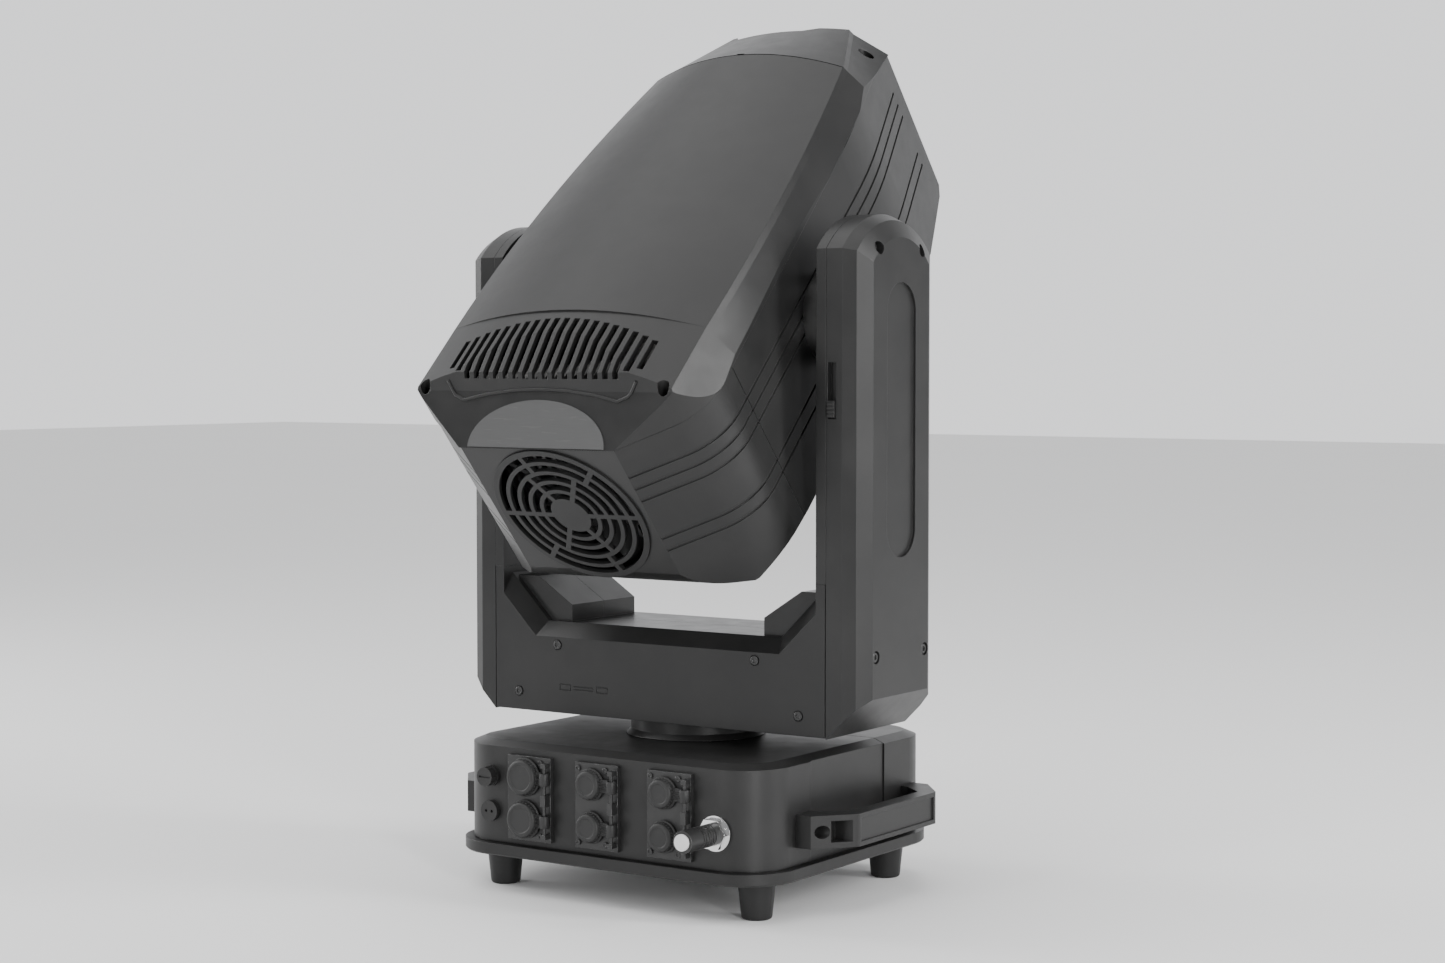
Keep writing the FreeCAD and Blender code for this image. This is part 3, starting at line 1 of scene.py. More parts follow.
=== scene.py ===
"""Moving head light: finishes, moulded detail, floor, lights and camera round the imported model.

Metres, +Z up.  The socket side of the base faces -Y, and the head leans back with its
lens towards +Y.
"""
import json
import math

import bmesh
import bpy
import numpy as np
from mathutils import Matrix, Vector
from mathutils.bvhtree import BVHTree


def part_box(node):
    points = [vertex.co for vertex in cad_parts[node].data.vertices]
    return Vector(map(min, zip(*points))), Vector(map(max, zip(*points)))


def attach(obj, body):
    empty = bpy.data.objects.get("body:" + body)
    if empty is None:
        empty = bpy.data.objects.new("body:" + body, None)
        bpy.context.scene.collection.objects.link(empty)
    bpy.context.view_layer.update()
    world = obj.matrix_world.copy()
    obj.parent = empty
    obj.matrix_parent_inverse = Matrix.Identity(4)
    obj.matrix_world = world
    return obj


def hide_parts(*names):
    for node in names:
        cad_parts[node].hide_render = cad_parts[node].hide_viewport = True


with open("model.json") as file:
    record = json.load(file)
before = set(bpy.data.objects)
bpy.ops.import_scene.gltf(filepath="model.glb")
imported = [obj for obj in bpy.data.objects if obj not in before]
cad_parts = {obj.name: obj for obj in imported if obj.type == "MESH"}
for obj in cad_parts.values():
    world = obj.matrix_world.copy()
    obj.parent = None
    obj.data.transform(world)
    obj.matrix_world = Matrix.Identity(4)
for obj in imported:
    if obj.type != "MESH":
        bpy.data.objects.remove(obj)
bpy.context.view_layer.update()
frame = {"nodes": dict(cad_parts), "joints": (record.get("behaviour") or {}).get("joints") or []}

MM = 0.001
UP = Vector((0, 0, 1))
TILT_AXIS = Vector((0, 0, 0.505))
HEAD_LEAN = math.radians(48.9)  # from upright to the beam, at rest
BEAM = Vector((0, math.sin(HEAD_LEAN), math.cos(HEAD_LEAN)))
ROOF_UP = Vector((0, -math.cos(HEAD_LEAN), math.sin(HEAD_LEAN)))


# --- shader building ---------------------------------------------------------------------

class Signal:
    """One output of a shader node; arithmetic on it adds Math nodes."""

    def __init__(self, finish, socket):
        self.finish = finish
        self.socket = socket

    def math(self, operation, *values):
        return self.finish.node("ShaderNodeMath", {"operation": operation}, dict(enumerate(values)))

    def __add__(self, other):
        return self.math("ADD", self, other)

    def __radd__(self, other):
        return self.math("ADD", other, self)

    def __sub__(self, other):
        return self.math("SUBTRACT", self, other)

    def __rsub__(self, other):
        return self.math("SUBTRACT", other, self)

    def __mul__(self, other):
        return self.math("MULTIPLY", self, other)

    def __rmul__(self, other):
        return self.math("MULTIPLY", other, self)

    def ramped(self, low, high, to_low=0.0, to_high=1.0):
        """Follow this value from low to high with a smooth step between two other values."""
        settings = {"interpolation_type": "SMOOTHSTEP"}
        sockets = {"Value": self, "From Min": low, "From Max": high, "To Min": to_low, "To Max": to_high}
        return self.finish.node("ShaderNodeMapRange", settings, sockets)


class Finish:
    """A material built from nodes round one Principled shader."""

    def __init__(self, name, **shader_values):
        self.material = bpy.data.materials.new(name)
        self.material.use_nodes = True
        self.tree = self.material.node_tree
        self.tree.nodes.clear()
        output = self.tree.nodes.new("ShaderNodeOutputMaterial")
        self.shader = self.tree.nodes.new("ShaderNodeBsdfPrincipled")
        self.tree.links.new(self.shader.outputs["BSDF"], output.inputs["Surface"])
        self.feed(**shader_values)
        self.place = self.node("ShaderNodeTexCoord", {}, {}, "Object")

    def node(self, kind, settings, sockets, output=0):
        made = self.tree.nodes.new(kind)
        for key, value in settings.items():
            setattr(made, key, value)
        for key, value in sockets.items():
            self.join(made.inputs[key], value)
        return Signal(self, made.outputs[output])

    def join(self, socket, value):
        if isinstance(value, Signal):
            self.tree.links.new(value.socket, socket)
        else:
            socket.default_value = value

    def feed(self, **values):
        """Set or link the shader's sockets, named with underscores for spaces."""
        for key, value in values.items():
            self.join(self.shader.inputs[key.replace("_", " ")], value)

    def noise(self, scale, detail=3.0, roughness=0.55, place=None):
        sockets = {"Vector": place or self.place, "Scale": scale, "Detail": detail, "Roughness": roughness}
        return self.node("ShaderNodeTexNoise", {}, sockets)

    def cells(self, scale):
        sockets = {"Vector": self.place, "Scale": scale}
        return self.node("ShaderNodeTexVoronoi", {"feature": "SMOOTH_F1"}, sockets, "Distance")

    def stretched(self, x, y, z):
        return self.node("ShaderNodeMapping", {}, {"Vector": self.place, "Scale": (x, y, z)})

    def blend(self, share, first, second):
        """Mix two colours; a colour Mix node has them in its seventh and eighth sockets."""
        return self.node("ShaderNodeMix", {"data_type": "RGBA"}, {0: share, 6: first, 7: second}, 2)

    def rounded_normal(self, radius):
        return self.node("ShaderNodeBevel", {"samples": 4}, {"Radius": radius})

    def sharp_edge_mask(self, radius):
        """Near one along sharp edges and nothing on flat faces."""
        flat = self.node("ShaderNodeNewGeometry", {}, {}, "Normal")
        rounded = self.rounded_normal(radius)
        settings = {"operation": "DOT_PRODUCT"}
        same = self.node("ShaderNodeVectorMath", settings, {0: flat, 1: rounded}, "Value")
        return (1.0 - same).ramped(0.01, 0.16)

    def bump(self, height, distance, strength=1.0, edge_radius=None):
        sockets = {"Height": height, "Distance": distance, "Strength": strength}
        if edge_radius:
            sockets["Normal"] = self.rounded_normal(edge_radius)
        self.feed(Normal=self.node("ShaderNodeBump", {}, sockets))


def shade(level, warmth=0.0):
    """A near-neutral colour, a little warm or cool."""
    return (level * (1 + warmth), level, level * (1 - warmth), 1.0)


def moulded_black(name, level, rough, grain=0.9, edge=0.7, wear_and_highlight=0.5):
    """Spark-textured moulded plastic: fine grain, cloudy sheen, polished edges lightened partly as wear and
    partly as a painted highlight.
    """
    finish = Finish(name, Specular_IOR_Level=0.36)
    fine = finish.cells(1 / (grain * MM))
    cloud = finish.noise(14.0, 4.0, 0.6)
    drift = finish.noise(55.0, 3.0, 0.55)
    scuff = finish.noise(160.0, 5.0, 0.7, finish.stretched(1.0, 0.35, 2.2)).ramped(0.60, 0.72)
    # Edge mask for lighter edges: partly wear, partly a painted highlight along every sharp edge.
    worn_and_lit = finish.sharp_edge_mask(edge * MM) * finish.noise(90.0, 3.0).ramped(0.30, 0.62, 0.35, 1.0) * wear_and_highlight
    tone = finish.blend(cloud.ramped(0.35, 0.68), shade(level * 0.88), shade(level * 1.14, 0.01))
    tone = finish.blend(worn_and_lit * 0.55, tone, shade(level * 2.6, 0.01))
    tone = finish.blend(scuff * 0.10, tone, shade(level * 2.2, 0.02))
    finish.feed(Base_Color=tone,
                Roughness=rough + (drift - 0.5) * 0.12 + (cloud - 0.5) * 0.10 - worn_and_lit * 0.10 + scuff * 0.05)
    finish.bump(fine * 0.6 + finish.noise(2600.0, 2.0) * 0.4, 0.00005, 0.55, edge * MM)
    return finish.material


def rubber_black(name, level, rough):
    """Moulded rubber: matt, faintly mottled, dusty in patches, with edges lightened partly by wear and
    partly as a painted highlight.
    """
    finish = Finish(name, Specular_IOR_Level=0.35)
    dust = finish.noise(70.0, 6.0, 0.65).ramped(0.52, 0.74)
    # Edge mask for lighter edges: partly wear, partly a painted highlight along every sharp edge.
    worn_and_lit = finish.sharp_edge_mask(1.0 * MM)
    tone = finish.blend(dust * 0.35, shade(level), shade(level * 2.1, 0.03))
    tone = finish.blend(worn_and_lit * 0.30, tone, shade(level * 2.4, 0.02))
    finish.feed(Base_Color=tone, Roughness=rough + (finish.noise(120.0, 4.0) - 0.5) * 0.2)
    finish.bump(finish.noise(900.0, 4.0, 0.6), 0.00008, 0.6, 1.0 * MM)
    return finish.material


def bare_metal(name, level, rough, brushed=(1.0, 1.0, 1.0), warmth=0.0, edge=0.3):
    """Machined or cast metal with tool marks stretched along one direction."""
    finish = Finish(name, Metallic=1.0)
    marks = finish.noise(1500.0, 4.0, 0.7, finish.stretched(*brushed))
    stain = finish.noise(60.0, 5.0, 0.6).ramped(0.45, 0.75)
    tone = finish.blend(stain * 0.4, shade(level, warmth), shade(level * 0.72, warmth + 0.02))
    finish.feed(Base_Color=tone, Roughness=rough + (marks - 0.5) * 0.22 + stain * 0.08)
    finish.bump(marks, 0.00003, 0.5, edge * MM)
    return finish.material


def painted_black(name, level, rough, edge=0.4):
    """Blackened or painted metal, rubbed back to steel along its edges."""
    finish = Finish(name)
    rubbed = finish.sharp_edge_mask(edge * MM) * finish.noise(220.0, 4.0).ramped(0.42, 0.60)
    orange_peel = finish.noise(700.0, 2.0, 0.5)
    tone = finish.blend(finish.noise(40.0, 4.0).ramped(0.3, 0.7), shade(level * 0.85), shade(level * 1.2))
    finish.feed(Base_Color=finish.blend(rubbed * 0.6, tone, shade(0.38)), Metallic=rubbed * 0.8,
                Roughness=rough + (orange_peel - 0.5) * 0.15 - rubbed * 0.08)
    finish.bump(orange_peel, 0.00006, 0.4, edge * MM)
    return finish.material


def printed_plate(name, level):
    """A plain foil label: satin, faintly grained along its width, with a few hair scratches."""
    finish = Finish(name, Specular_IOR_Level=0.5)
    grain = finish.noise(900.0, 3.0, 0.6, finish.stretched(0.08, 1.0, 1.0))
    scratch = finish.noise(240.0, 2.0, 0.5, finish.stretched(0.2, 2.5, 2.5)).ramped(0.66, 0.70)
    tone = finish.blend(grain, shade(level * 0.90), shade(level * 1.10, -0.01))
    finish.feed(Base_Color=finish.blend(scratch * 0.25, tone, shade(level * 1.6)),
                Roughness=0.42 + (grain - 0.5) * 0.16)
    finish.bump(grain, 0.00002, 0.4)
    return finish.material


def coated_glass(name):
    """The front lens: clear glass with a faint coating, uneven in patches."""
    finish = Finish(name, IOR=1.52, Transmission_Weight=0.85, Coat_Weight=0.6, Coat_Roughness=0.02)
    film = finish.noise(30.0, 4.0).ramped(0.4, 0.7)
    finish.feed(Base_Color=finish.blend(film, (0.62, 0.70, 0.80, 1.0), (0.52, 0.58, 0.74, 1.0)),
                Roughness=0.02 + finish.noise(300.0, 5.0, 0.7).ramped(0.55, 0.8) * 0.08)
    return finish.material


def dark_window(name):
    """The display's tinted window, with finger marks."""
    finish = Finish(name, IOR=1.5, Coat_Weight=0.8, Coat_Roughness=0.03)
    smear = finish.noise(80.0, 5.0, 0.65).ramped(0.5, 0.75)
    finish.feed(Base_Color=finish.blend(smear * 0.5, (0.006, 0.008, 0.010, 1), (0.016, 0.018, 0.022, 1)),
                Roughness=0.06 + smear * 0.16)
    return finish.material


FINISHES = {
    "base": moulded_black("base_moulding", 0.017, 0.40),
    "tray": moulded_black("tray_moulding", 0.014, 0.42),
    "yoke": moulded_black("yoke_moulding", 0.018, 0.37),
    "bar": moulded_black("crossbar_moulding", 0.017, 0.33),
    "head": moulded_black("head_moulding", 0.016, 0.36),
    "grille": moulded_black("grille_moulding", 0.012, 0.46, edge=0.5),
    "dark": moulded_black("rotor_moulding", 0.006, 0.45),
    "rubber": rubber_black("cap_rubber", 0.022, 0.46),
    "foot": rubber_black("foot_rubber", 0.013, 0.45),
    "socket": moulded_black("socket_moulding", 0.018, 0.30, edge=0.3),
    "plate": painted_black("socket_plate_paint", 0.020, 0.40),
    "black_screw": painted_black("black_screw_steel", 0.022, 0.34, edge=0.3),
    "bright_screw": bare_metal("bright_screw_steel", 0.55, 0.26),
    "nut": bare_metal("plated_nut", 0.82, 0.14, (0.3, 1.0, 1.0)),
    "sleeve": painted_black("sleeve_black", 0.020, 0.36, edge=0.3),
    "alloy": bare_metal("cast_alloy", 0.42, 0.46, warmth=0.01),
    "shaft": bare_metal("turned_shaft", 0.50, 0.30, (1.0, 1.0, 0.05)),
    "axle": bare_metal("turned_axle", 0.30, 0.34, (0.05, 1.0, 1.0)),
    "motor": painted_black("motor_paint", 0.040, 0.45),
    "label": printed_plate("label_foil", 0.07),
    "lens": coated_glass("lens_glass"),
    "window": dark_window("display_window"),
    "white": moulded_black("white_plug_face", 0.72, 0.30, wear_and_highlight=0.0),
    "button": rubber_black("button_rubber", 0.030, 0.50),
}
NODE_FINISHES = {
    "base": ["base_housing_rear", "base_housing_front", "handle_right", "handle_left", "display_panel",
             "turntable"],
    "tray": ["base_tray"],
    "foot": ["rubber_feet"],
    "rubber": ["power_in_cap", "power_out_cap", "data_in_cap", "data_out_cap", "network_in_cap",
               "network_out_cap", "tilt_lock"],
    "plate": ["power_plate", "data_plates"],
    "socket": ["power_sockets", "data_sockets", "fuse_holder", "fuse_cap", "breather_vent"],
    "nut": ["port_nut"],
    "sleeve": ["port_sleeve"],
    "white": ["port_plug"],
    "window": ["display_glass"],
    "button": ["button_menu", "button_down", "button_up", "button_enter"],
    "bright_screw": ["base_screws"],
    "alloy": ["power_supply", "pan_pulley", "pan_pinion", "tilt_pinion", "heat_sink", "optics_frame",
              "focus_carriage", "yoke_frame", "gobo_wheel"],
    "shaft": ["pan_shaft"],
    "axle": ["tilt_axles"],
    "motor": ["yoke_motors"],
    "bar": ["crossbar_cover_rear", "crossbar_cover_front"],
    "yoke": ["arm_inner_cover_left", "arm_inner_cover_right", "arm_outer_cover_left",
             "arm_outer_cover_right"],
    "head": ["head_top_cover", "head_nose_cover", "head_lower_cover", "head_rear_cover", "front_bezel"],
    "grille": ["fan_grille"],
    "dark": ["fan_rotor"],
    "label": ["label_plate"],
    "lens": ["front_lens"],
    "black_screw": ["yoke_screws", "head_screws"],
}
for finish_name, node_names in NODE_FINISHES.items():
    for node_name in node_names:
        node_object = frame["nodes"][node_name]
        node_object.data.materials.clear()
        node_object.data.materials.append(FINISHES[finish_name])


# --- moulded and turned detail --------------------------------------------------------------

def loose_parts(node_name):
    """The separate solids in one CAD node, each as a list of corner points."""
    shell = bmesh.new()
    shell.from_mesh(frame["nodes"][node_name].data)
    bmesh.ops.remove_doubles(shell, verts=shell.verts, dist=0.01 * MM)
    waiting = set(shell.verts)
    parts = []
    while waiting:
        front = [waiting.pop()]
        found = []
        while front:
            corner = front.pop()
            found.append(corner.co.copy())
            for edge in corner.link_edges:
                other = edge.other_vert(corner)
                if other in waiting:
                    waiting.remove(other)
                    front.append(other)
        parts.append(found)
    shell.free()
    return parts


def disc_of(points, outwards):
    """A round flat solid's middle, axis, radius and thickness; the axis points along outwards."""
    spread = np.array(points)
    middle = (spread.max(axis=0) + spread.min(axis=0)) / 2
    centred = spread - spread.mean(axis=0)
    lengths, directions = np.linalg.eigh(centred.T @ centred)
    axis = Vector(directions[:, 0])
    if axis.dot(outwards) < 0:
        axis = -axis
    along = spread @ np.array(axis)
    middle = Vector(middle)
    middle += axis * ((along.max() + along.min()) / 2 - middle.dot(axis))
    reach = max((Vector(point) - middle).cross(axis).length for point in points)
    return middle, axis, reach, float(along.max() - along.min())


def finished(name, mesh, finish_name, body, *nodes, slot=None):
    """A new piece that rides on a body and stands for CAD nodes, if any."""
    piece = bpy.data.objects.new(name, mesh)
    bpy.context.scene.collection.objects.link(piece)
    mesh.materials.clear()
    mesh.materials.append(FINISHES[finish_name])
    if nodes:
        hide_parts(*nodes)
    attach(piece, body)
    return piece


def outward(shell):
    """Close seams and poles, and turn every face outwards."""
    bmesh.ops.remove_doubles(shell, verts=shell.verts, dist=0.001 * MM)
    bmesh.ops.recalc_face_normals(shell, faces=shell.faces)


def mesh_of(shell, name, smooth=True):
    outward(shell)
    mesh = bpy.data.meshes.new(name)
    for face in shell.faces:
        face.smooth = smooth
    shell.to_mesh(mesh)
    shell.free()
    if smooth:
        mesh.set_sharp_from_angle(angle=math.radians(40))
    return mesh


def turned(shell, profile, middle, axis, sides=64):
    """Turn a closed (radius, height) profile, in millimetres, round an axis."""
    turn = axis.to_track_quat("Z", "Y").to_matrix()
    rings = []
    for radius, height in profile:
        count = 1 if radius == 0 else sides
        ring = []
        for i in range(count):
            angle = 2 * math.pi * i / sides
            spot = Vector((radius * math.cos(angle), radius * math.sin(angle), height)) * MM
            ring.append(shell.verts.new(middle + turn @ spot))
        rings.append(ring)
    for i, ring in enumerate(rings):
        above = rings[(i + 1) % len(rings)]
        if len(ring) == 1 and len(above) == 1:
            continue
        for j in range(sides):
            k = (j + 1) % sides
            if len(ring) == 1:
                shell.faces.new((ring[0], above[k], above[j]))
            elif len(above) == 1:
                shell.faces.new((ring[j], ring[k], above[0]))
            else:
                shell.faces.new((ring[j], ring[k], above[k], above[j]))


def rounded_block(shell, low, high, rounding):
    """An upright block with all its edges rounded, between two corners in metres."""
    low, high = Vector(low), Vector(high)
    made = bmesh.ops.create_cube(shell, size=1.0)["verts"]
    for corner in made:
        corner.co = Vector(((low[i] + high[i]) / 2 + corner.co[i] * (high[i] - low[i]) for i in range(3)))
    sides = list({edge for corner in made for edge in corner.link_edges})
    bmesh.ops.bevel(shell, geom=sides, offset=rounding * MM, segments=3, profile=0.5, affect="EDGES")


# --- repeated items ---------------------------------------------------------------------------

class Recipe:
    """A Geometry Nodes tree with named inputs, ending in Realize Instances and Set Material."""

    def __init__(self, name, sizes, material):
        self.tree = bpy.data.node_groups.new(name, "GeometryNodeTree")
        sockets = self.tree.interface
        sockets.new_socket("Geometry", in_out="INPUT", socket_type="NodeSocketGeometry")
        for label, value in sizes.items():
            kind = "NodeSocketInt" if isinstance(value, int) else "NodeSocketFloat"
            sockets.new_socket(label, in_out="INPUT", socket_type=kind).default_value = value
        sockets.new_socket("Geometry", in_out="OUTPUT", socket_type="NodeSocketGeometry")
        self.inputs = self.tree.nodes.new("NodeGroupInput").outputs
        self.material = material

    def node(self, kind, settings, sockets, output=0):
        made = self.tree.nodes.new(kind)
        for key, value in settings.items():
            setattr(made, key, value)
        for key, value in sockets.items():
            if isinstance(value, bpy.types.NodeSocket):
                self.tree.links.new(value, made.inputs[key])
            else:
                made.inputs[key].default_value = value
        return made.outputs[output]

    def close(self, geometry):
        """End the tree with plain, painted geometry."""
        whole = self.node("GeometryNodeRealizeInstances", {}, {0: geometry})
        painted = self.node("GeometryNodeSetMaterial", {}, {"Geometry": whole, "Material": self.material})
        end = self.tree.nodes.new("NodeGroupOutput")
        self.tree.links.new(painted, end.inputs[0])

    def cook(self, start, sizes):
        """Run the tree on a mesh and return the result as a plain mesh."""
        holder = bpy.data.objects.new("cooking", start)
        bpy.context.scene.collection.objects.link(holder)
        step = holder.modifiers.new("cooking", "NODES")
        step.node_group = self.tree
        for item in self.tree.interface.items_tree:
            if item.in_out == "INPUT" and item.name in sizes:
                step[item.identifier] = sizes[item.name]
        graph = bpy.context.evaluated_depsgraph_get()
        done = bpy.data.meshes.new_from_object(holder.evaluated_get(graph), depsgraph=graph)
        holder.modifiers.remove(step)
        bpy.data.objects.remove(holder)
        return done


def points_mesh(name, places, **values):
    """Bare points, each with named numbers or vectors."""
    mesh = bpy.data.meshes.new(name)
    mesh.from_pydata([tuple(place) for place in places], [], [])
    for key, rows in values.items():
        if isinstance(rows[0], Vector):
            column = mesh.attributes.new(key, "FLOAT_VECTOR", "POINT")
            column.data.foreach_set("vector", [number for row in rows for number in row])
        else:
            column = mesh.attributes.new(key, "FLOAT", "POINT")
            column.data.foreach_set("value", rows)
    return mesh


EDGE_ROUND = 0.14


def screw_recipe(material):
    """Socket-head screws: a round head with a rolled edge and a hexagonal key hole, on every point."""
    sizes = {"Key Width": 0.55, "Key Depth": 0.5, "Edge Round": EDGE_ROUND}
    recipe = Recipe("socket_head_screws", sizes, material)
    node, inputs = recipe.node, recipe.inputs
    body = recipe.tree.nodes.new("GeometryNodeMeshCylinder")
    body.inputs["Vertices"].default_value = 30
    body.inputs["Radius"].default_value = 1.0
    body.inputs["Depth"].default_value = 1.0
    rolled = recipe.tree.nodes.new("GeometryNodeExtrudeMesh")
    recipe.tree.links.new(body.outputs["Mesh"], rolled.inputs["Mesh"])
    recipe.tree.links.new(body.outputs["Top"], rolled.inputs["Selection"])
    recipe.tree.links.new(inputs["Edge Round"], rolled.inputs["Offset Scale"])
    shrink = node("ShaderNodeMath", {"operation": "SUBTRACT"}, {0: 1.0, 1: inputs["Edge Round"]})
    head = node("GeometryNodeScaleElements", {},
                {"Geometry": rolled.outputs["Mesh"], "Selection": rolled.outputs["Top"], "Scale": shrink})
    key = node("GeometryNodeMeshCylinder", {}, {"Vertices": 6, "Radius": inputs["Key Width"], "Depth": 1.0})
    lift = node("ShaderNodeMath", {"operation": "SUBTRACT"}, {0: 1.2, 1: inputs["Key Depth"]})
    key = node("GeometryNodeTransform", {},
               {"Geometry": key, "Translation": node("ShaderNodeCombineXYZ", {}, {"Z": lift})})
    screw = node("GeometryNodeMeshBoolean", {"operation": "DIFFERENCE"}, {"Mesh 1": head, "Mesh 2": key})
    facing = node("GeometryNodeInputNamedAttribute", {"data_type": "FLOAT_VECTOR"}, {"Name": "facing"})
    radius = node("GeometryNodeInputNamedAttribute", {"data_type": "FLOAT"}, {"Name": "radius"})
    height = node("GeometryNodeInputNamedAttribute", {"data_type": "FLOAT"}, {"Name": "height"})
    turn = node("FunctionNodeAlignRotationToVector", {"axis": "Z"}, {"Vector": facing})
    spread = node("ShaderNodeCombineXYZ", {}, {"X": radius, "Y": radius, "Z": height})
    laid = node("GeometryNodeInstanceOnPoints", {},
                {"Points": inputs["Geometry"], "Instance": screw, "Rotation": turn, "Scale": spread})
    recipe.close(laid)
    return recipe


def screws(node_name, name, finish_name, body, outwards=None, sizes=(0.0, 1.0)):
    """Put detailed screws where a CAD node's plain ones of some radius are, on one body."""
    parts = loose_parts(node_name)
    discs = [disc_of(part, outwards or Vector((part[0].x, part[0].y, 0))) for part in parts]
    discs = [disc for disc in discs if sizes[0] < disc[2] <= sizes[1]]
    start = points_mesh(node_name + "_places", [middle for middle, _, _, _ in discs],
                        facing=[axis for _, axis, _, _ in discs],
                        radius=[reach for _, _, reach, _ in discs],
                        height=[tall / (1 + EDGE_ROUND) for _, _, _, tall in discs])
    recipe = screw_recipe(FINISHES[finish_name])
    mesh = recipe.cook(start, {"Key Width": 0.55, "Key Depth": 0.5, "Edge Round": EDGE_ROUND})
    finished(name, mesh, finish_name, body, node_name)


def rib_recipe(material):
    """A ring of small upright grips round an axis."""
    sizes = {"Grips": 24, "Ring Radius": 0.014, "Grip Radius": 0.0006, "Grip Length": 0.004}
    recipe = Recipe("grip_ring", sizes, material)
    node, inputs = recipe.node, recipe.inputs
    ring = node("GeometryNodeMeshCircle", {},
                {"Vertices": inputs["Grips"], "Radius": inputs["Ring Radius"]})
    grip = node("GeometryNodeMeshCylinder", {},
                {"Vertices": 8, "Radius": inputs["Grip Radius"], "Depth": inputs["Grip Length"]})
    ringed = node("GeometryNodeInstanceOnPoints", {}, {"Points": ring, "Instance": grip})
    facing = node("GeometryNodeInputNamedAttribute", {"data_type": "FLOAT_VECTOR"}, {"Name": "facing"})
    turn = node("FunctionNodeAlignRotationToVector", {"axis": "Z"}, {"Vector": facing})
    laid = node("GeometryNodeInstanceOnPoints", {},
                {"Points": inputs["Geometry"], "Instance": ringed, "Rotation": turn})
    recipe.close(laid)
    return recipe


def joined(name, meshes):
    """Several meshes as one."""
    whole = bmesh.new()
    for mesh in meshes:
        whole.from_mesh(mesh)
    made = bpy.data.meshes.new(name)
    whole.to_mesh(made)
    whole.free()
    return made


SOCKET_SIDE = Vector((0, -1, 0))
GRIP_COUNT = 30
GRIP_RADIUS = 0.55
ARM_HALF = 5.6
ARM_THICKNESS = 3.0
ARM_FRONT = 3.6
ARM_RIB_PITCH = 3.1
CAP_WALL = 4.2


def cap_profile(r, deep):
    """A cap's section, radius and height in millimetres: rim, skirt, shoulder, dished face, hollow."""
    hole = r - CAP_WALL
    return [(hole, 0.4), (r - 0.5, 0.4), (r, 0.9), (r, 2.0), (r - 1.2, 2.5), (r - 1.5, 3.4),
            (r - 1.8, deep - 2.0), (r - 2.4, deep - 0.9), (r - 3.6, deep - 0.2), (r - 4.8, deep),
            (r - 5.4, deep - 0.1), (r - 6.0, deep - 0.8), (r - 8.0, deep - 0.9),
            (0, deep - 0.5), (0, deep - 2.4), (hole, deep - 2.4)]


def cap_arm(name, near, left, lug_x, middle_z):
    """The arm from a cap's skirt to its knuckle, with three ribs across it."""
    shell = bmesh.new()
    rounded_block(shell, (left - 3 * MM, near, middle_z - ARM_HALF * MM),
                  (lug_x - 2.4 * MM, near + ARM_THICKNESS * MM, middle_z + ARM_HALF * MM), 0.8)
    for i in (-1, 0, 1):
        rib_z = middle_z + i * ARM_RIB_PITCH * MM
        rounded_block(shell, (left - 2 * MM, near - 0.7 * MM, rib_z - 0.5 * MM),
                      (lug_x - 2.2 * MM, near + 1.0 * MM, rib_z + 0.5 * MM), 0.25)
    return mesh_of(shell, name)


def cap_knuckle(name, spot):
    """The tube that turns on the plate's rail."""
    shell = bmesh.new()
    profile = [(2.9, -5.4), (4.1, -5.4), (4.4, -5.0), (4.4, 5.0), (4.1, 5.4), (2.9, 5.4)]
    turned(shell, profile, spot, UP, 32)
    return mesh_of(shell, name)


def flip_caps():
    """Six rubber caps: skirt, rolled shoulder, dished face, grips, hinge arm and knuckle."""
    recipe = rib_recipe(FINISHES["rubber"])
    hinges = {joint["name"]: joint["pos_m"] for joint in frame["joints"] if "pos_m" in joint}
    for column in ("power", "data", "network"):
        for way in ("in", "out"):
            node_name = f"{column}_{way}_cap"
            low, high = (Vector(corner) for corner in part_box(node_name))
            radius = (high.z - low.z) / 2
            middle_z = (high.z + low.z) / 2
            centre = Vector((low.x + radius, high.y - 0.4 * MM, middle_z))
            lug = hinges[node_name + "_hinge"]
            deep = (high.y - low.y) / MM - 1.2
            shell = bmesh.new()
            turned(shell, cap_profile(radius / MM, deep), centre, SOCKET_SIDE, 48)
            skirt = mesh_of(shell, node_name + "_skirt")
            grip_middle = centre + SOCKET_SIDE * 4.1 * MM
            start = points_mesh(node_name + "_grips", [grip_middle], facing=[SOCKET_SIDE])
            grips = recipe.cook(start, {"Grips": GRIP_COUNT, "Ring Radius": radius - 1.6 * MM,
                                        "Grip Radius": GRIP_RADIUS * MM, "Grip Length": (deep - 5.6) * MM})
            arm = cap_arm(node_name + "_arm", centre.y - ARM_FRONT * MM, centre.x + radius, lug[0], middle_z)
            knuckle = cap_knuckle(node_name + "_knuckle", Vector((lug[0], lug[1], middle_z)))
            whole = joined(node_name + "_rubber", [skirt, grips, arm, knuckle])
            finished(f"{column}_{way}_flip_cap", whole, "rubber", node_name, node_name, slot="rubber")


def lens():
    """A domed front lens with a chamfered rim, in place of the flat disc."""
    middle, axis, reach, tall = disc_of(loose_parts("front_lens")[0], BEAM)
    r, half = reach / MM, tall / MM / 2
    crown = 3.0
    shoulder = half - 1.0
    steps = 8
    profile = [(0, shoulder + crown)]
    for i in range(1, steps + 1):
        share = i / steps
        profile.append(((r - 3) * share, shoulder + crown * (1 - share * share)))
    profile += [(r - 0.6, half - 1.2), (r, half - 1.8), (r, -half + 0.6), (r - 0.6, -half), (0, -half)]
    shell = bmesh.new()
    turned(shell, profile, middle, axis, 96)
    dome = mesh_of(shell, "domed_front_lens")
    finished("domed_front_lens", dome, "lens", "head", "front_lens", slot="lens")


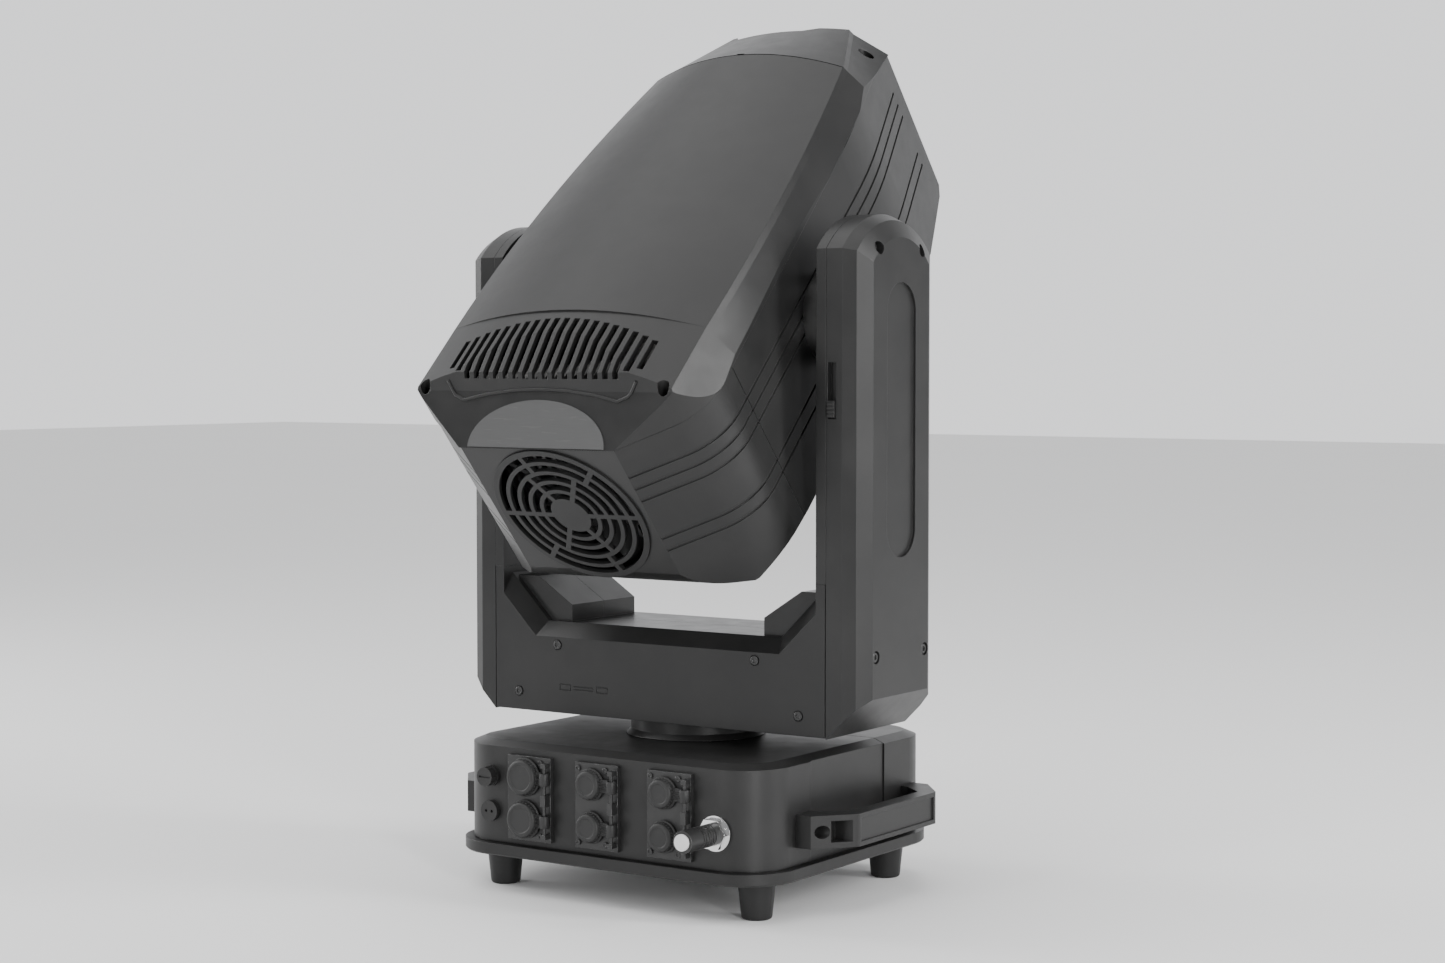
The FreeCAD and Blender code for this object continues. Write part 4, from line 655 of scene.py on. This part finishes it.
def brow_bead():
    """The moulded bead that runs across the head's rear, below the vent slots."""
    roof = bmesh.new()
    roof.from_mesh(frame["nodes"]["head_top_cover"].data)
    tree = BVHTree.FromBMesh(roof)
    route = [(-98, -206), (-90, -214), (-80, -217), (-55, -213), (-28, -210.5), (0, -210)]
    route += [(-across, along) for across, along in reversed(route[:-1])]
    steps = 6
    close_route = []
    for (x0, w0), (x1, w1) in zip(route, route[1:]):
        for i in range(steps):
            close_route.append((x0 + (x1 - x0) * i / steps, w0 + (w1 - w0) * i / steps))
    close_route.append(route[-1])
    spots = []
    above_roof = 0.25
    for x, w in close_route:
        start = TILT_AXIS + Vector((x * MM, 0, 0)) + BEAM * (w * MM) + ROOF_UP * above_roof
        hit, normal, _, _ = tree.ray_cast(start, -ROOF_UP)
        if hit:
            spots.append(hit + normal * 0.1 * MM)
    roof.free()
    line = bpy.data.curves.new("brow_bead", "CURVE")
    line.dimensions = "3D"
    line.bevel_depth = 1.5 * MM
    line.bevel_resolution = 3
    line.use_fill_caps = True
    spline = line.splines.new("POLY")
    spline.points.add(len(spots) - 1)
    for point, spot in zip(spline.points, spots):
        point.co = (*spot, 1.0)
    holder = bpy.data.objects.new("brow_bead", line)
    bpy.context.scene.collection.objects.link(holder)
    graph = bpy.context.evaluated_depsgraph_get()
    mesh = bpy.data.meshes.new_from_object(holder.evaluated_get(graph), depsgraph=graph)
    bpy.data.objects.remove(holder)
    finished("brow_bead", mesh, "head", "head", slot="head_shell")


screws("base_screws", "handle_socket_screws", "bright_screw", "base", sizes=(0.0035, 0.01))
screws("base_screws", "plate_socket_screws", "black_screw", "base", sizes=(0.0, 0.0035))
screws("yoke_screws", "yoke_socket_screws", "black_screw", "yoke")
screws("head_screws", "head_socket_screws", "black_screw", "head", ROOF_UP)
flip_caps()
lens()
brow_bead()


# --- floor, lights and camera ------------------------------------------------------------

def floor():
    mesh = bpy.data.meshes.new("floor")
    reach = 12.0
    corners = [(-reach, -reach, 0), (reach, -reach, 0), (reach, reach, 0), (-reach, reach, 0)]
    mesh.from_pydata(corners, [], [(0, 1, 2, 3)])
    ground = bpy.data.objects.new("floor", mesh)
    bpy.context.scene.collection.objects.link(ground)
    paint = Finish("floor_paint", Roughness=0.9, Specular_IOR_Level=0.1)
    paint.feed(Base_Color=paint.blend(paint.noise(0.8, 2.0), shade(0.86), shade(0.88)))
    mesh.materials.append(paint.material)


def soft_light(name, place, aim, width, height, power):
    lamp = bpy.data.lights.new(name, "AREA")
    lamp.shape = "RECTANGLE"
    lamp.size = width
    lamp.size_y = height
    lamp.energy = power
    holder = bpy.data.objects.new(name, lamp)
    holder.location = place
    holder.rotation_euler = (Vector(aim) - Vector(place)).to_track_quat("-Z", "Y").to_euler()
    bpy.context.scene.collection.objects.link(holder)


def daylight(name, aim, strength, spread):
    """Even light over the whole floor, as from a large silk overhead."""
    lamp = bpy.data.lights.new(name, "SUN")
    lamp.energy = strength
    lamp.angle = math.radians(spread)
    holder = bpy.data.objects.new(name, lamp)
    holder.rotation_euler = Vector(aim).to_track_quat("-Z", "Y").to_euler()
    bpy.context.scene.collection.objects.link(holder)


def studio_air():
    """A pale surround, brightest behind the light and dimmer on the socket side."""
    world = bpy.data.worlds.new("studio_air")
    world.use_nodes = True
    tree = world.node_tree
    glow = tree.nodes["Background"]
    glow.inputs["Color"].default_value = (0.95, 0.955, 0.97, 1.0)
    heading = tree.nodes.new("ShaderNodeTexCoord")
    facing = tree.nodes.new("ShaderNodeVectorMath")
    facing.operation = "DOT_PRODUCT"
    facing.inputs[1].default_value = (-0.56, 0.83, 0.0)
    tree.links.new(heading.outputs["Generated"], facing.inputs[0])
    fall = tree.nodes.new("ShaderNodeMapRange")
    fall.interpolation_type = "SMOOTHSTEP"
    fall.inputs["From Min"].default_value = 0.35
    fall.inputs["From Max"].default_value = 0.85
    fall.inputs["To Min"].default_value = 0.36
    fall.inputs["To Max"].default_value = 1.35
    tree.links.new(facing.outputs["Value"], fall.inputs["Value"])
    tree.links.new(fall.outputs["Result"], glow.inputs["Strength"])
    bpy.context.scene.world = world


def studio():
    floor()
    middle = (0, 0, 0.42)
    daylight("silk", (0.25, 0.2, -1.0), 1.75, 70)
    soft_light("left_side", (-2.6, -0.6, 1.3), middle, 0.6, 2.2, 40)
    soft_light("right_side", (2.7, 0.7, 1.4), middle, 0.5, 2.4, 70)
    soft_light("corner_strip", (2.5, -1.7, 0.8), middle, 0.28, 2.2, 60)
    soft_light("socket_side", (-0.6, -3.0, 0.9), middle, 0.5, 1.6, 22)
    studio_air()


CAMERA_PLACE = (1.3039, -1.8892, 0.4705)
CAMERA_HEADING = math.radians(34.03)
CAMERA_DIP = math.radians(2.76)
FOCAL_LENGTH = 63.72


def camera():
    lens = bpy.data.cameras.new("viewpoint")
    lens.sensor_width = 36.0
    lens.lens = FOCAL_LENGTH
    eye = bpy.data.objects.new("viewpoint", lens)
    eye.location = CAMERA_PLACE
    eye.rotation_euler = (math.pi / 2 - CAMERA_DIP, 0.0, CAMERA_HEADING)
    bpy.context.scene.collection.objects.link(eye)
    bpy.context.scene.camera = eye


studio()
camera()
